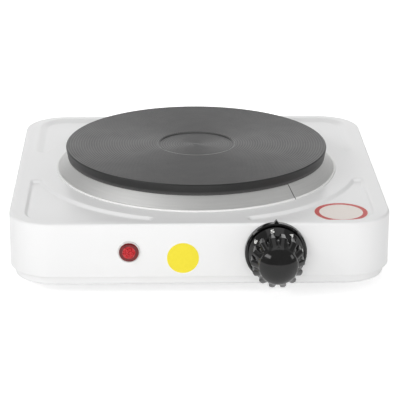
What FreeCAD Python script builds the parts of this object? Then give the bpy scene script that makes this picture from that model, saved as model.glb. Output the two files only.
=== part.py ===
# A single-plate electric hot plate: a pressed-steel body on rubber feet, a cast-iron plate on a
# flared trim ring, a pilot lamp, and a knob that turns a thermostat's cam and lifts its contact lever.
# Millimetres, +Z up, front towards -Y. The floor under the feet is z = 0, and the origin lies under
# the middle of the whole outline. Each piece is drawn about the plate's axis and then shifted along Y.
import FreeCAD, Part
import Sketcher
import math
import os
import re

Vector = FreeCAD.Vector

# Driving sizes, in millimetres, degrees or counts.
SIZES = {
    # Pressed housing
    "body_width": 212.5,
    "body_depth": 204.5,
    "corner_radius": 25,
    "deck_height": 36.9,
    "skirt_lift": 5.6,
    "wall": 0.8,
    "edge_round": 1.5,
    "deck_hole_gap": 2.5,
    # Triangular pressings in the deck's corners
    "pressing_depth": 1.5,
    "pressing_arc": 94,
    "pressing_slope": 3,
    "pressing_side_land": 9.25,
    "pressing_front_land": 5.25,
    "pressing_wall": 1.6,
    "pressing_end": 26,
    "pressing_tip": 3,
    "pressing_floor_tip": 1.5,
    "pressing_corner": 17,
    # Base pan
    "base_gap": 1.8,
    "base_wall_height": 8,
    "base_round": 1.5,
    "vent_count": 7,
    "vent_length": 46,
    "vent_width": 3.2,
    "vent_pitch": 8,
    "vent_corner": 1.4,
    "vent_row_offset": 32,
    # Feet, pillars and base screws
    "foot_height": 6,
    "foot_radius": 7,
    "foot_chamfer": 0.8,
    "foot_neck_radius": 3.2,
    "foot_head_radius": 4.6,
    "foot_head_height": 2,
    "foot_side_inset": 38,
    "foot_front_inset": 38,
    "pillar_side_inset": 24,
    "pillar_front_inset": 22.5,
    "pillar_radius": 4,
    "screw_radius": 1.75,
    "screw_head_radius": 3.5,
    "screw_head_height": 2,
    "screw_length": 12,
    "screw_clearance": 0.15,
    # Cast plate and its trim ring
    "plate_diameter": 155,
    "plate_rise": 13.5,
    "rim_height": 6.5,
    "rim_chamfer": 0.9,
    "recess_radius": 23.3,
    "recess_depth": 0.7,
    "recess_slope": 0.5,
    "plate_body_radius": 70,
    "plate_body_depth": 13,
    "ring_radius": 83.4,
    "ring_top_inset": 0.5,
    "ring_metal": 0.5,
    "ring_lip": 1.1,
    "ring_lip_height": 0.9,
    "ring_gap": 0.6,
    # Heating coils, their insulation and the cover under the plate
    "inner_coil_radius": 35,
    "outer_coil_radius": 54,
    "coil_tube_radius": 3,
    "coil_end_offset": 6,
    "channel_width": 11,
    "channel_depth": 8,
    "coil_clearance": 0.2,
    "insulation_clearance": 0.15,
    "pin_radius": 1.2,
    "pin_clearance": 0.3,
    "cover_radius": 68,
    "cover_metal": 0.8,
    # Ceramic block and brass terminals under the cover
    "coil_block_width": 26,
    "coil_block_margin": 6.5,
    "coil_block_height": 10,
    "link_metal": 0.8,
    "link_width": 6,
    "sleeve_radius": 2.6,
    "sleeve_length": 6,
    "pin_reach": 5,
    # Centre stud and clamp bar
    "stud_radius": 3,
    "stud_depth": 9,
    "stud_end": 1.5,
    "stud_clearance": 0.15,
    "bar_width": 20,
    "bar_metal": 2,
    "bar_drop": 2,
    "bar_seat": 14,
    "bar_gap": 2.5,
    "bar_slope": 5,
    "washer_radius": 7,
    "washer_height": 1.2,
    "nut_flats": 10,
    "nut_height": 5,
    # Knob, dial bezel and spindle
    "control_spacing": 80.5,
    "control_shift": 0.85,
    "control_height": 20.4,
    "bezel_radius": 17,
    "bezel_floor": 1.2,
    "bezel_rim": 3.4,
    "bezel_rim_width": 1.1,
    "pointer_reach": 1.7,
    "pointer_width": 3.4,
    "pointer_metal": 2.4,
    "knob_gap": 0.8,
    "skirt_gap": 0.6,
    "skirt_rim": 2.2,
    "grip_core_radius": 12.3,
    "grip_start": 9.6,
    "lobe_count": 14,
    "lobe_radius": 1.9,
    "grip_radius": 14.4,
    "grip_end": 17.4,
    "lobe_bend": 1.6,
    "lobe_sink": 1.5,
    "dome_radius": 10.4,
    "dome_start": 23.8,
    "knob_reach": 28.6,
    "hub_radius": 5.6,
    "hollow_wall": 1.9,
    "hollow_depth": 4,
    "spindle_radius": 3,
    "spindle_flat": 1.4,
    "spindle_seat": 13,
    "spindle_tail": 1.5,
    "knob_bore_fit": 0.05,
    "running_fit": 0.06,
    # Thermostat
    "bush_radius": 4.2,
    "bush_reach": 1,
    "bush_clearance": 0.2,
    "frame_metal": 1.2,
    "frame_left": 18,
    "frame_right": 14,
    "ceramic_height": 22,
    "ceramic_width": 24,
    "ceramic_start": 8,
    "ceramic_length": 14,
    "mount_screw_spacing": 18,
    "mount_screw_radius": 1.5,
    "mount_screw_head": 2.6,
    "mount_screw_head_height": 1.4,
    "mount_screw_length": 7,
    "cam_start": 2.8,
    "cam_width": 2.4,
    "cam_low": 4.6,
    "cam_rise": 1.5,
    "cam_bore_fit": 0.05,
    "knob_turn_back": 215,
    "knob_turn_on": 55,
    "lever_gap": 0.3,
    "lever_length": 14,
    "lever_tail": 12,
    "lever_metal": 1.2,
    "lever_eye_radius": 2.4,
    "lever_nub_radius": 1.2,
    "lever_pin_radius": 1,
    "lever_pin_tail": 1.3,
    "contact_width": 3.6,
    "contact_height": 0.8,
    "contact_gap": 0.85,
    "fixed_contact_metal": 0.9,
    "fixed_contact_foot": 8,
    "bimetal_width": 6,
    "bimetal_metal": 0.8,
    "bimetal_length": 24,
    "bimetal_foot": 8,
    "bimetal_inset": 3,
    "tab_width": 6.3,
    "tab_metal": 0.8,
    "tab_length": 8,
    "tab_spacing": 16,
    "tab_drop": 4,
    # Pilot lamp
    "lens_radius": 6.2,
    "lens_flange": 0.9,
    "lens_cap_radius": 4.95,
    "lens_cap_height": 2.8,
    "lens_cap_bend": 1.2,
    "lens_barrel_radius": 4.6,
    "lens_bore_radius": 3.7,
    "lens_barrel_length": 9,
    "lens_front_wall": 1.2,
    "lens_clearance": 0.15,
    "retainer_radius": 7.5,
    "retainer_metal": 1,
    "neon_radius": 2.6,
    "neon_length": 13,
    "neon_clearance": 0.3,
    "holder_length": 9,
    # Cord entry at the back
    "gland_side_inset": 56,
    "gland_bore_radius": 3.8,
    "gland_neck_radius": 6,
    "gland_flange_radius": 8,
    "gland_reach": 2.6,
    "gland_inner_flange": 2.4,
    "gland_inner_radius": 7.4,
    "gland_round": 0.8,
    "block_width": 38,
    "block_depth": 14,
    "block_height": 12,
    "block_rear_gap": 14,
    "block_pitch": 12,
    "well_radius": 2.4,
    "well_depth": 5,
    "well_screw_height": 3,
    "well_clearance": 0.2,
    # Leads and the earth connection
    "lead_radius": 1.2,
    "lamp_lead_radius": 0.9,
    "lamp_lead_spacing": 4.4,
    "lead_stub": 9,
    "terminal_drop": 6,
    "earth_offset": 34,
    "earth_gap": 10.5,
    "lug_radius": 4.4,
    "lug_metal": 0.8,
    "lug_barrel_radius": 1.8,
    "lug_barrel_length": 7,
    "lug_stub": 7,
    "earth_screw_length": 4,
}

# Levels above the floor and places about the plate's axis, as formulas over the sizes.
FLOOR_TOP = "(foot_height + wall)"
SKIRT_END = "(foot_height + skirt_lift)"
DECK_TOP = "(foot_height + deck_height)"
DECK_UNDER = "(foot_height + deck_height - wall)"
PRESSING_UNDER = "(foot_height + deck_height - wall - pressing_depth)"
PLATE_TOP = "(foot_height + deck_height + plate_rise)"
PLATE_SEAT = "(foot_height + deck_height + plate_rise - rim_height)"
PLATE_UNDER = "(foot_height + deck_height + plate_rise - rim_height - plate_body_depth)"
COVER_UNDER = f"({PLATE_UNDER} - cover_metal)"
COIL_LEVEL = f"({PLATE_UNDER} + channel_depth / 2)"
COIL_BLOCK_UNDER = f"({COVER_UNDER} - coil_block_height)"
SLEEVE_TOP = f"({COIL_BLOCK_UNDER} - link_metal)"
SLEEVE_UNDER = f"({SLEEVE_TOP} - sleeve_length)"
BAR_TOP = f"({COVER_UNDER} - bar_drop)"
BAR_UNDER = f"({BAR_TOP} - bar_metal)"
NUT_UNDER = f"({BAR_UNDER} - washer_height - nut_height)"
DECK_HOLE = "(plate_body_radius + deck_hole_gap)"
BASE_INSET = "(wall + base_gap)"
CONTROL_LEVEL = "(foot_height + control_height)"
KNOB_X = "(control_shift + control_spacing / 2)"
LAMP_X = "(control_shift - control_spacing / 2)"
FRONT = "(body_depth / 2)"
FOOT_X = "(body_width / 2 - foot_side_inset)"
FOOT_Y = "(body_depth / 2 - foot_front_inset)"
PILLAR_X = "(body_width / 2 - pillar_side_inset)"
PILLAR_Y = "(body_depth / 2 - pillar_front_inset)"
BLOCK_FRONT = "(body_depth / 2 - block_rear_gap - block_depth)"
GLAND_X = "(gland_side_inset - body_width / 2)"
EARTH_X = f"({GLAND_X} + earth_offset)"
EARTH_Y = f"({BLOCK_FRONT} - earth_gap)"
LUG_END = "(lug_metal / 2 - lug_radius - lug_barrel_length)"
LUG_LEVEL = "(lug_barrel_radius + lug_metal / 4)"
AXIS_SHIFT = "((knob_reach - gland_reach) / 2)"

# The thermostat's own frame: x and v across the knob's axis, and depths forward of the front face.
CERAMIC_FACE = "(-ceramic_start)"
CERAMIC_BACK = "(-ceramic_start - ceramic_length)"
CAM_BACK = "(-cam_start - cam_width)"
KNOB_BACK = "(bezel_floor + knob_gap)"
KNOB_TRAVEL = "(knob_turn_back + knob_turn_on)"
CAM_REST = f"(cam_low + cam_rise * knob_turn_on / {KNOB_TRAVEL})"
NUB_LEVEL = f"({CAM_REST} + lever_gap + lever_nub_radius)"
LEVER_LEVEL = f"({NUB_LEVEL} + lever_metal / 2)"
CONTACT_X = "(lever_tail - contact_width / 2)"
FIXED_CONTACT_TOP = f"({LEVER_LEVEL} - lever_metal / 2 - contact_height - contact_gap)"

CORNERS = {"front_left": (-1, -1), "front_right": (1, -1), "rear_left": (-1, 1), "rear_right": (1, 1)}
FACING_FRONT = FreeCAD.Rotation(Vector(1, 0, 0), 90)
FACING_REAR = FreeCAD.Rotation(Vector(1, 0, 0), -90)
FACING_DOWN = FreeCAD.Rotation(Vector(1, 0, 0), 180)
UPRIGHT = FreeCAD.Rotation()
SMALL = 1e-4

document = FreeCAD.newDocument("hot_plate")
sheet = document.addObject("Spreadsheet::Sheet", "sizes")
for row, (alias, size) in enumerate(SIZES.items(), start=1):
    sheet.set(f"A{row}", alias.replace("_", " "))
    sheet.set(f"B{row}", str(size))
    sheet.setAlias(f"B{row}", alias)
document.recompute()

subparts = []


def cells(formula):
    """The formula with each size's name pointed at its cell of the sheet."""
    def in_sheet(word):
        return f"sizes.{word.group()}" if word.group() in SIZES else word.group()

    return re.sub(r"[a-z]\w*", in_sheet, formula)


def number(formula):
    """What a formula comes to with the sheet's present sizes."""
    return float(sheet.evalExpression(cells(formula)))


def bind(thing, **formulas):
    """Ties properties to formulas, with two underscores for each dot of a property's path."""
    for path, formula in formulas.items():
        thing.setExpression(path.replace("__", "."), cells(formula))


def finished(thing, label, x="0", y="0", z="0", facing=UPRIGHT):
    """Names a piece that is kept and puts it in its place."""
    thing.Label = label
    thing.Placement = FreeCAD.Placement(Vector(), facing)
    bind(thing, Placement__Base__x=x, Placement__Base__y=f"{AXIS_SHIFT} + {y}", Placement__Base__z=z)
    subparts.append(thing)
    return thing


def new_body(name):
    return document.addObject("PartDesign::Body", f"{name}_body")


def sketch_on(body, plane="XY_Plane", height="0"):
    """A sketch on one of the body's own planes, moved along that plane's normal."""
    sketch = body.newObject("Sketcher::SketchObject", f"{body.Name}_sketch")
    support = next(feature for feature in body.Origin.OriginFeatures if feature.Role == plane)
    sketch.AttachmentSupport = (support, [""])
    sketch.MapMode = "FlatFace"
    bind(sketch, AttachmentOffset__Base__z=height)
    return sketch


def pin(sketch, kind, *where):
    """A sketch dimension whose last value is a formula."""
    *places, formula = where
    index = sketch.addConstraint(Sketcher.Constraint(kind, *places, number(formula)))
    sketch.setExpression(f"Constraints[{index}]", cells(formula))


def pin_point(sketch, edge, end, x, y):
    pin(sketch, "DistanceX", -1, 1, edge, end, x)
    pin(sketch, "DistanceY", -1, 1, edge, end, y)


def arc_between(start, end, radius, turn):
    """The arc under half a circle from start to end, turning left where turn is 1 and right where -1."""
    chord = end - start
    reach = math.sqrt(max(radius ** 2 - (chord.Length / 2) ** 2, 0))
    side = Vector(-chord.y, chord.x, 0).normalize() * turn
    centre = (start + end) / 2 + side * reach
    first, last = (start, end) if turn > 0 else (end, start)
    angles = [math.atan2(point.y - centre.y, point.x - centre.x) for point in (first, last)]
    return Part.ArcOfCircle(Part.Circle(centre, Vector(0, 0, 1), radius), *angles)


def outline(sketch, *corners, closed=True):
    """Joined edges. A corner is (x, y), or (x, y, radius, turn) where an arc leads to the next corner."""
    points = [Vector(number(corner[0]), number(corner[1]), 0) for corner in corners]
    edges = list(range(len(corners) if closed else len(corners) - 1))
    first = sketch.GeometryCount
    ends = []
    for index in edges:
        following = points[(index + 1) % len(points)]
        x, y, *arc = corners[index]
        if arc:
            sketch.addGeometry(arc_between(points[index], following, number(arc[0]), arc[1]), False)
        else:
            sketch.addGeometry(Part.LineSegment(points[index], following), False)
        ends.append((2, 1) if arc and arc[1] < 0 else (1, 2))
    for index in edges if closed else edges[:-1]:
        following = (index + 1) % len(edges)
        sketch.addConstraint(Sketcher.Constraint(
            "Coincident", first + index, ends[index][1], first + following, ends[following][0]))
    for index in edges:
        x, y, *arc = corners[index]
        pin_point(sketch, first + index, ends[index][0], x, y)
        if arc:
            pin(sketch, "Radius", first + index, arc[0])
    if not closed:
        pin_point(sketch, first + edges[-1], ends[-1][1], *corners[-1])


def circle(sketch, radius, x="0", y="0"):
    ring = Part.Circle(Vector(number(x), number(y), 0), Vector(0, 0, 1), number(radius))
    edge = sketch.addGeometry(ring, False)
    pin_point(sketch, edge, 3, x, y)
    pin(sketch, "Radius", edge, radius)


def rectangle(sketch, left, right, low, high):
    outline(sketch, (left, low), (right, low), (right, high), (left, high))


def rounded_rectangle(sketch, width, depth, radius, x="0", y="0"):
    left, right = f"{x} - {width} / 2", f"{x} + {width} / 2"
    low, high = f"{y} - {depth} / 2", f"{y} + {depth} / 2"
    outline(
        sketch,
        (f"{left} + {radius}", low), (f"{right} - {radius}", low, radius, 1),
        (right, f"{low} + {radius}"), (right, f"{high} - {radius}", radius, 1),
        (f"{right} - {radius}", high), (f"{left} + {radius}", high, radius, 1),
        (left, f"{high} - {radius}"), (left, f"{low} + {radius}", radius, 1),
    )


def add(body, kind, sketch, **formulas):
    feature = body.newObject(f"PartDesign::{kind}", f"{body.Name}_{kind.lower()}")
    feature.Profile = sketch
    bind(feature, **formulas)
    sketch.Visibility = False
    return feature


def pad(body, sketch, length):
    """Grows the sketch along its normal."""
    return add(body, "Pad", sketch, Length=length)


def cut(body, sketch, length, along_normal=False):
    """Cuts the sketch into the body, against its normal unless said otherwise."""
    document.recompute()
    before = body.Shape.Volume
    feature = add(body, "Pocket", sketch, Length=length)
    feature.Reversed = along_normal
    document.recompute()
    if body.Shape.Volume > before - SMALL:
        raise RuntimeError(f"{feature.Name} cuts nothing")
    return feature


def revolve(body, *corners):
    """Turns an outline of (radius, height) corners about the body's upright axis."""
    sketch = sketch_on(body, "XZ_Plane")
    outline(sketch, *corners)
    feature = add(body, "Revolution", sketch)
    feature.ReferenceAxis = (sketch, ["V_Axis"])
    return feature


def turned(name, *corners):
    body = new_body(name)
    revolve(body, *corners)
    return body


def round_edges(body, radius, test):
    """Rounds the edges of the body's present shape that pass the test."""
    document.recompute()
    base = body.Tip
    names = [f"Edge{index}" for index, edge in enumerate(base.Shape.Edges, start=1) if test(edge)]
    fillet = body.newObject("PartDesign::Fillet", f"{body.Name}_fillet")
    fillet.Base = (base, names)
    bind(fillet, Radius=radius)
    return fillet


def at_level(formula):
    level = number(formula)
    return lambda edge: abs(edge.BoundBox.ZMin - level) < SMALL and abs(edge.BoundBox.ZMax - level) < SMALL


def cylinder(radius, height, x="0", y="0", z="0"):
    solid = document.addObject("Part::Cylinder", "cylinder")
    bind(solid, Radius=radius, Height=height)
    bind(solid, Placement__Base__x=x, Placement__Base__y=y, Placement__Base__z=z)
    return solid


def fuse(*shapes):
    joined = document.addObject("Part::MultiFuse", "joined")
    joined.Shapes = list(shapes)
    return joined


def group(*shapes):
    """Separate solids that share one node."""
    kept = document.addObject("Part::Compound", "group")
    kept.Links = list(shapes)
    return kept


def screw(radius, length, head_radius, head_height, x="0", y="0", z="0"):
    """A pan-headed screw pointing up, with z where its head meets the work."""
    shank = cylinder(radius, f"{length} + {head_height} / 2", x, y, f"{z} - {head_height} / 2")
    head = cylinder(head_radius, head_height, x, y, f"{z} - {head_height}")
    return fuse(shank, head)


# Housing


def pressing_outline(sketch, sign_x, sign_y, slope, arc, tip, grow):
    """One corner pressing's outline: two straight sides, a round corner and an arc about the plate."""
    side = f"(body_width / 2 - pressing_side_land - {slope} + {grow})"
    front = f"(body_depth / 2 - pressing_front_land - {slope} + {grow})"
    radius = f"({arc} - {grow})"
    corner = f"(pressing_corner + {grow})"

    def end_beside(line):
        return f"sqrt(max({radius}^2 - ({line} - {tip})^2; (pressing_end - {grow})^2))"

    side_end = end_beside(side)
    front_end = end_beside(front)
    quadrant = [
        (f"sqrt({radius}^2 - {side_end}^2)", side_end),
        (side, side_end),
        (side, f"{front} - {corner}", corner, 1),
        (f"{side} - {corner}", front),
        (front_end, front),
        (front_end, f"sqrt({radius}^2 - {front_end}^2)", radius, -1),
    ]
    corners = []
    for x, y, *arc_to_next in quadrant:
        bend = [arc_to_next[0], arc_to_next[1] * sign_x * sign_y] if arc_to_next else []
        corners.append((f"{sign_x} * ({x})", f"{sign_y} * ({y})", *bend))
    outline(sketch, *corners)


def press_corner(body, kind, sign_x, sign_y, level, grow):
    """Lofts a pressing from its mouth at a level down to its floor."""
    mouth = sketch_on(body, height=level)
    pressing_outline(mouth, sign_x, sign_y, "0", "pressing_arc", "pressing_tip", grow)
    floor = sketch_on(body, height=f"{level} - pressing_depth")
    floor_arc = "(pressing_arc + pressing_slope)"
    pressing_outline(floor, sign_x, sign_y, "pressing_wall", floor_arc, "pressing_floor_tip", grow)
    loft = add(body, kind, mouth)
    loft.Sections = [floor]
    loft.Ruled = True
    floor.Visibility = False


def make_top_housing():
    body = new_body("top_housing")
    block = sketch_on(body, height=SKIRT_END)
    rounded_rectangle(block, "body_width", "body_depth", "corner_radius")
    pad(body, block, f"{DECK_TOP} - {SKIRT_END}")
    round_edges(body, "edge_round", at_level(DECK_TOP))
    cavity = sketch_on(body, height=SKIRT_END)
    rounded_rectangle(
        cavity, "(body_width - 2 * wall)", "(body_depth - 2 * wall)", "(corner_radius - wall)")
    cut(body, cavity, f"{DECK_UNDER} - {SKIRT_END}", along_normal=True)
    round_edges(body, "edge_round - wall", at_level(DECK_UNDER))
    for sign_x, sign_y in CORNERS.values():
        press_corner(body, "AdditiveLoft", sign_x, sign_y, DECK_UNDER, "wall")
        press_corner(body, "SubtractiveLoft", sign_x, sign_y, DECK_TOP, "0")
    hole = sketch_on(body, height=DECK_TOP)
    circle(hole, DECK_HOLE)
    cut(body, hole, "2 * wall")
    front_holes = sketch_on(body, "XZ_Plane", FRONT)
    circle(front_holes, "bush_radius + bush_clearance", KNOB_X, CONTROL_LEVEL)
    circle(front_holes, "lens_barrel_radius + lens_clearance", LAMP_X, CONTROL_LEVEL)
    for sign in (-1, 1):
        circle(front_holes, "mount_screw_radius + screw_clearance",
               f"{KNOB_X} + {sign} * mount_screw_spacing / 2", CONTROL_LEVEL)
    cut(body, front_holes, "2 * wall")
    rear_hole = sketch_on(body, "XZ_Plane", f"-{FRONT}")
    circle(rear_hole, "gland_neck_radius", GLAND_X, CONTROL_LEVEL)
    cut(body, rear_hole, "2 * wall", along_normal=True)
    finished(body, "top_housing")


# Base, feet, pillars and their screws


def make_base_pan():
    body = new_body("base_pan")
    block = sketch_on(body, height="foot_height")
    rounded_rectangle(block, f"(body_width - 2 * {BASE_INSET})", f"(body_depth - 2 * {BASE_INSET})",
                      f"(corner_radius - {BASE_INSET})")
    pad(body, block, "base_wall_height")
    round_edges(body, "base_round", at_level("foot_height"))
    cavity = sketch_on(body, height="foot_height + base_wall_height")
    cavity_inset = f"({BASE_INSET} + wall)"
    rounded_rectangle(cavity, f"(body_width - 2 * {cavity_inset})", f"(body_depth - 2 * {cavity_inset})",
                      f"(corner_radius - {cavity_inset})")
    cut(body, cavity, "base_wall_height - wall")
    round_edges(body, "base_round - wall", at_level(FLOOR_TOP))
    holes = sketch_on(body, height=FLOOR_TOP)
    for sign_x, sign_y in CORNERS.values():
        circle(holes, "foot_neck_radius + screw_clearance", f"{sign_x} * {FOOT_X}", f"{sign_y} * {FOOT_Y}")
        circle(holes, "screw_radius + screw_clearance", f"{sign_x} * {PILLAR_X}", f"{sign_y} * {PILLAR_Y}")
    circle(holes, "screw_radius + screw_clearance", EARTH_X, EARTH_Y)
    cut(body, holes, "2 * wall")
    row_span = "(vent_count - 1) * vent_pitch"
    for sign in (-1, 1):
        vent = sketch_on(body, height=FLOOR_TOP)
        rounded_rectangle(vent, "vent_length", "vent_width", "vent_corner",
                          f"{sign} * vent_row_offset", f"-{row_span} / 2")
        slot = cut(body, vent, "2 * wall")
        row = body.newObject("PartDesign::LinearPattern", "vent_row")
        row.Originals = [slot]
        row.Direction = (vent, ["V_Axis"])
        bind(row, Length=row_span, Occurrences="vent_count")
        body.Tip = row
    finished(body, "base_pan")


def make_feet():
    head_top = f"{FLOOR_TOP} + foot_head_height"
    for name, (sign_x, sign_y) in CORNERS.items():
        foot = turned(
            f"foot_{name}",
            ("0", "0"), ("foot_radius - foot_chamfer", "0"), ("foot_radius", "foot_chamfer"),
            ("foot_radius", "foot_height"), ("foot_neck_radius", "foot_height"),
            ("foot_neck_radius", FLOOR_TOP), ("foot_head_radius", FLOOR_TOP),
            ("foot_neck_radius", head_top), ("0", head_top),
        )
        finished(foot, f"foot_{name}", f"{sign_x} * {FOOT_X}", f"{sign_y} * {FOOT_Y}")


def make_pillars():
    bore = "screw_radius + screw_clearance"
    for name, (sign_x, sign_y) in CORNERS.items():
        pillar = turned(
            f"pillar_{name}",
            (bore, FLOOR_TOP), ("pillar_radius", FLOOR_TOP), ("pillar_radius", PRESSING_UNDER),
            (bore, PRESSING_UNDER),
        )
        finished(pillar, f"pillar_{name}", f"{sign_x} * {PILLAR_X}", f"{sign_y} * {PILLAR_Y}")


def make_base_screws():
    screws = []
    for sign_x, sign_y in CORNERS.values():
        screws.append(screw("screw_radius", "screw_length", "screw_head_radius", "screw_head_height",
                            f"{sign_x} * {PILLAR_X}", f"{sign_y} * {PILLAR_Y}", "foot_height"))
    finished(group(*screws), "base_screws")


# Plate, ring and heating


def make_hot_plate():
    radius = "(plate_diameter / 2)"
    floor = f"{PLATE_TOP} - recess_depth"
    channel_top = f"{PLATE_UNDER} + channel_depth"
    stud_bore = "stud_radius + stud_clearance"
    channels = []
    for coil in ("outer_coil_radius", "inner_coil_radius"):
        outer, inner = f"{coil} + channel_width / 2", f"{coil} - channel_width / 2"
        channels += [(outer, PLATE_UNDER), (outer, channel_top), (inner, channel_top), (inner, PLATE_UNDER)]
    plate = turned(
        "hot_plate",
        ("0", floor), ("recess_radius", floor), ("recess_radius + recess_slope", PLATE_TOP),
        (f"{radius} - rim_chamfer", PLATE_TOP, "rim_chamfer", -1), (radius, f"{PLATE_TOP} - rim_chamfer"),
        (radius, PLATE_SEAT), ("plate_body_radius", PLATE_SEAT), ("plate_body_radius", PLATE_UNDER),
        *channels,
        (stud_bore, PLATE_UNDER), (stud_bore, f"{PLATE_UNDER} + stud_depth"),
        ("0", f"{PLATE_UNDER} + stud_depth"),
    )
    finished(plate, "hot_plate")


def make_trim_ring():
    hole = "plate_body_radius + ring_gap"
    top = "plate_diameter / 2 - ring_top_inset"
    foot = "ring_radius - ring_lip"
    ring = turned(
        "trim_ring",
        (hole, f"{PLATE_SEAT} - ring_metal"), (hole, PLATE_SEAT), (top, PLATE_SEAT),
        (foot, f"{DECK_TOP} + ring_lip_height"), ("ring_radius", f"{DECK_TOP} + ring_lip_height"),
        ("ring_radius", DECK_TOP), (f"{foot} - ring_metal", DECK_TOP),
        (f"{top} - ring_metal", f"{PLATE_SEAT} - ring_metal"),
    )
    finished(ring, "trim_ring")


def coil_end_y(coil):
    return f"sqrt({coil}^2 - coil_end_offset^2)"


def make_coil(name):
    """An open ring of heating tube with two pins that pass down through the cover and block."""
    coil = f"{name}_coil_radius"
    tube = document.addObject("Part::Torus", "tube")
    gap = f"asin(coil_end_offset / {coil})"
    bind(tube, Radius1=coil, Radius2="coil_tube_radius", Angle3=f"360 deg - 2 * {gap}")
    bind(tube, Placement__Base__z=COIL_LEVEL, Placement__Rotation__Angle=f"90 deg + {gap}")
    pin_end = f"({SLEEVE_TOP} - pin_reach)"
    pin_length = f"{COIL_LEVEL} - {pin_end}"
    pins = [
        cylinder("pin_radius", pin_length, f"{sign} * coil_end_offset", coil_end_y(coil), pin_end)
        for sign in (-1, 1)
    ]
    finished(fuse(tube, *pins), f"{name}_coil")


def make_insulation(name):
    """A ring of packed insulation round one coil, filling its channel."""
    coil = f"{name}_coil_radius"
    body = new_body(f"{name}_insulation")
    half = "(channel_width / 2 - insulation_clearance)"
    top = f"{PLATE_UNDER} + channel_depth - insulation_clearance"
    section = sketch_on(body, "XZ_Plane")
    rectangle(section, f"{coil} - {half}", f"{coil} + {half}", PLATE_UNDER, top)
    circle(section, "coil_tube_radius + coil_clearance", coil, COIL_LEVEL)
    ring = add(body, "Revolution", section)
    ring.ReferenceAxis = (section, ["V_Axis"])
    holes = sketch_on(body, height=PLATE_UNDER)
    for sign in (-1, 1):
        circle(holes, "pin_radius + pin_clearance", f"{sign} * coil_end_offset", coil_end_y(coil))
    cut(body, holes, "channel_depth / 2", along_normal=True)
    finished(body, f"{name}_insulation")


def pin_holes(sketch, radius):
    for coil in ("inner_coil_radius", "outer_coil_radius"):
        for sign in (-1, 1):
            circle(sketch, radius, f"{sign} * coil_end_offset", coil_end_y(coil))


def make_plate_cover():
    body = new_body("plate_cover")
    disc = sketch_on(body, height=COVER_UNDER)
    circle(disc, "cover_radius")
    circle(disc, "stud_radius + stud_clearance")
    pin_holes(disc, "pin_radius + pin_clearance")
    pad(body, disc, "cover_metal")
    finished(body, "plate_cover")


def make_coil_block():
    body = new_body("coil_block")
    block = sketch_on(body, height=COIL_BLOCK_UNDER)
    rectangle(block, "-coil_block_width / 2", "coil_block_width / 2",
              f"{coil_end_y('inner_coil_radius')} - coil_block_margin",
              f"{coil_end_y('outer_coil_radius')} + coil_block_margin")
    pin_holes(block, "pin_radius + pin_clearance")
    pad(body, block, "coil_block_height")
    finished(body, "coil_block")


def make_coil_links():
    """Two brass strips, each joining one end of the inner coil to one end of the outer coil."""
    strips = []
    for sign in (-1, 1):
        body = new_body("coil_link")
        strip = sketch_on(body, height=SLEEVE_TOP)
        middle = f"{sign} * coil_end_offset"
        half = "(link_width / 2 - pin_clearance)"
        rectangle(strip, f"{middle} - {half}", f"{middle} + {half}",
                  f"{coil_end_y('inner_coil_radius')} - link_width / 2",
                  f"{coil_end_y('outer_coil_radius')} + link_width / 2")
        for coil in ("inner_coil_radius", "outer_coil_radius"):
            circle(strip, "pin_radius + screw_clearance", middle, coil_end_y(coil))
        pad(body, strip, "link_metal")
        strips.append(body)
    finished(group(*strips), "coil_links")


def make_terminal_sleeves():
    sleeves = []
    for coil in ("inner_coil_radius", "outer_coil_radius"):
        for sign in (-1, 1):
            sleeve = turned(
                "sleeve",
                ("0", SLEEVE_UNDER), ("sleeve_radius", SLEEVE_UNDER), ("sleeve_radius", SLEEVE_TOP),
                ("pin_radius + screw_clearance", SLEEVE_TOP),
                ("pin_radius + screw_clearance", f"{SLEEVE_TOP} - pin_reach - screw_clearance"),
                ("0", f"{SLEEVE_TOP} - pin_reach - screw_clearance"),
            )
            bind(sleeve, Placement__Base__x=f"{sign} * coil_end_offset", Placement__Base__y=coil_end_y(coil))
            sleeves.append(sleeve)
    finished(group(*sleeves), "terminal_sleeves")


# Clamping under the plate


def make_clamp_bar():
    """A strip whose ends bear up on the deck's underside while the stud pulls its middle."""
    body = new_body("clamp_bar")
    bend = f"({DECK_HOLE} + bar_gap)"
    seat = f"({bend} + bar_slope)"
    tip = f"({seat} + bar_seat)"
    half = [
        (bend, BAR_UNDER), (seat, f"{DECK_UNDER} - bar_metal"), (tip, f"{DECK_UNDER} - bar_metal"),
        (tip, DECK_UNDER), (seat, DECK_UNDER), (bend, BAR_TOP),
    ]
    mirrored = [(f"-{x}", z) for x, z in reversed(half)]
    side = sketch_on(body, "XZ_Plane", "-bar_width / 2")
    outline(side, *half, *mirrored)
    pad(body, side, "bar_width")
    hole = sketch_on(body, height=BAR_TOP)
    circle(hole, "stud_radius + stud_clearance")
    cut(body, hole, "2 * bar_metal")
    finished(body, "clamp_bar")


def make_stud_and_nut():
    top = f"{PLATE_UNDER} + stud_depth - stud_clearance"
    bottom = f"({NUT_UNDER} - stud_end)"
    stud = cylinder("stud_radius", f"{top} - {bottom}")
    finished(stud, "centre_stud", z=bottom)
    washer = turned(
        "stud_washer",
        ("stud_radius + stud_clearance", f"{BAR_UNDER} - washer_height"),
        ("washer_radius", f"{BAR_UNDER} - washer_height"),
        ("washer_radius", BAR_UNDER), ("stud_radius + stud_clearance", BAR_UNDER),
    )
    finished(washer, "stud_washer")
    body = new_body("stud_nut")
    hexagon = sketch_on(body, height=NUT_UNDER)
    corner = "nut_flats / sqrt(3)"
    angles = range(0, 360, 60)
    outline(hexagon, *[(f"{corner} * cos({angle})", f"{corner} * sin({angle})") for angle in angles])
    circle(hexagon, "stud_radius + stud_clearance")
    pad(body, hexagon, "nut_height")
    finished(body, "stud_nut")


# Knob and thermostat, drawn about the knob's axis with depths forward of the front face


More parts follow.
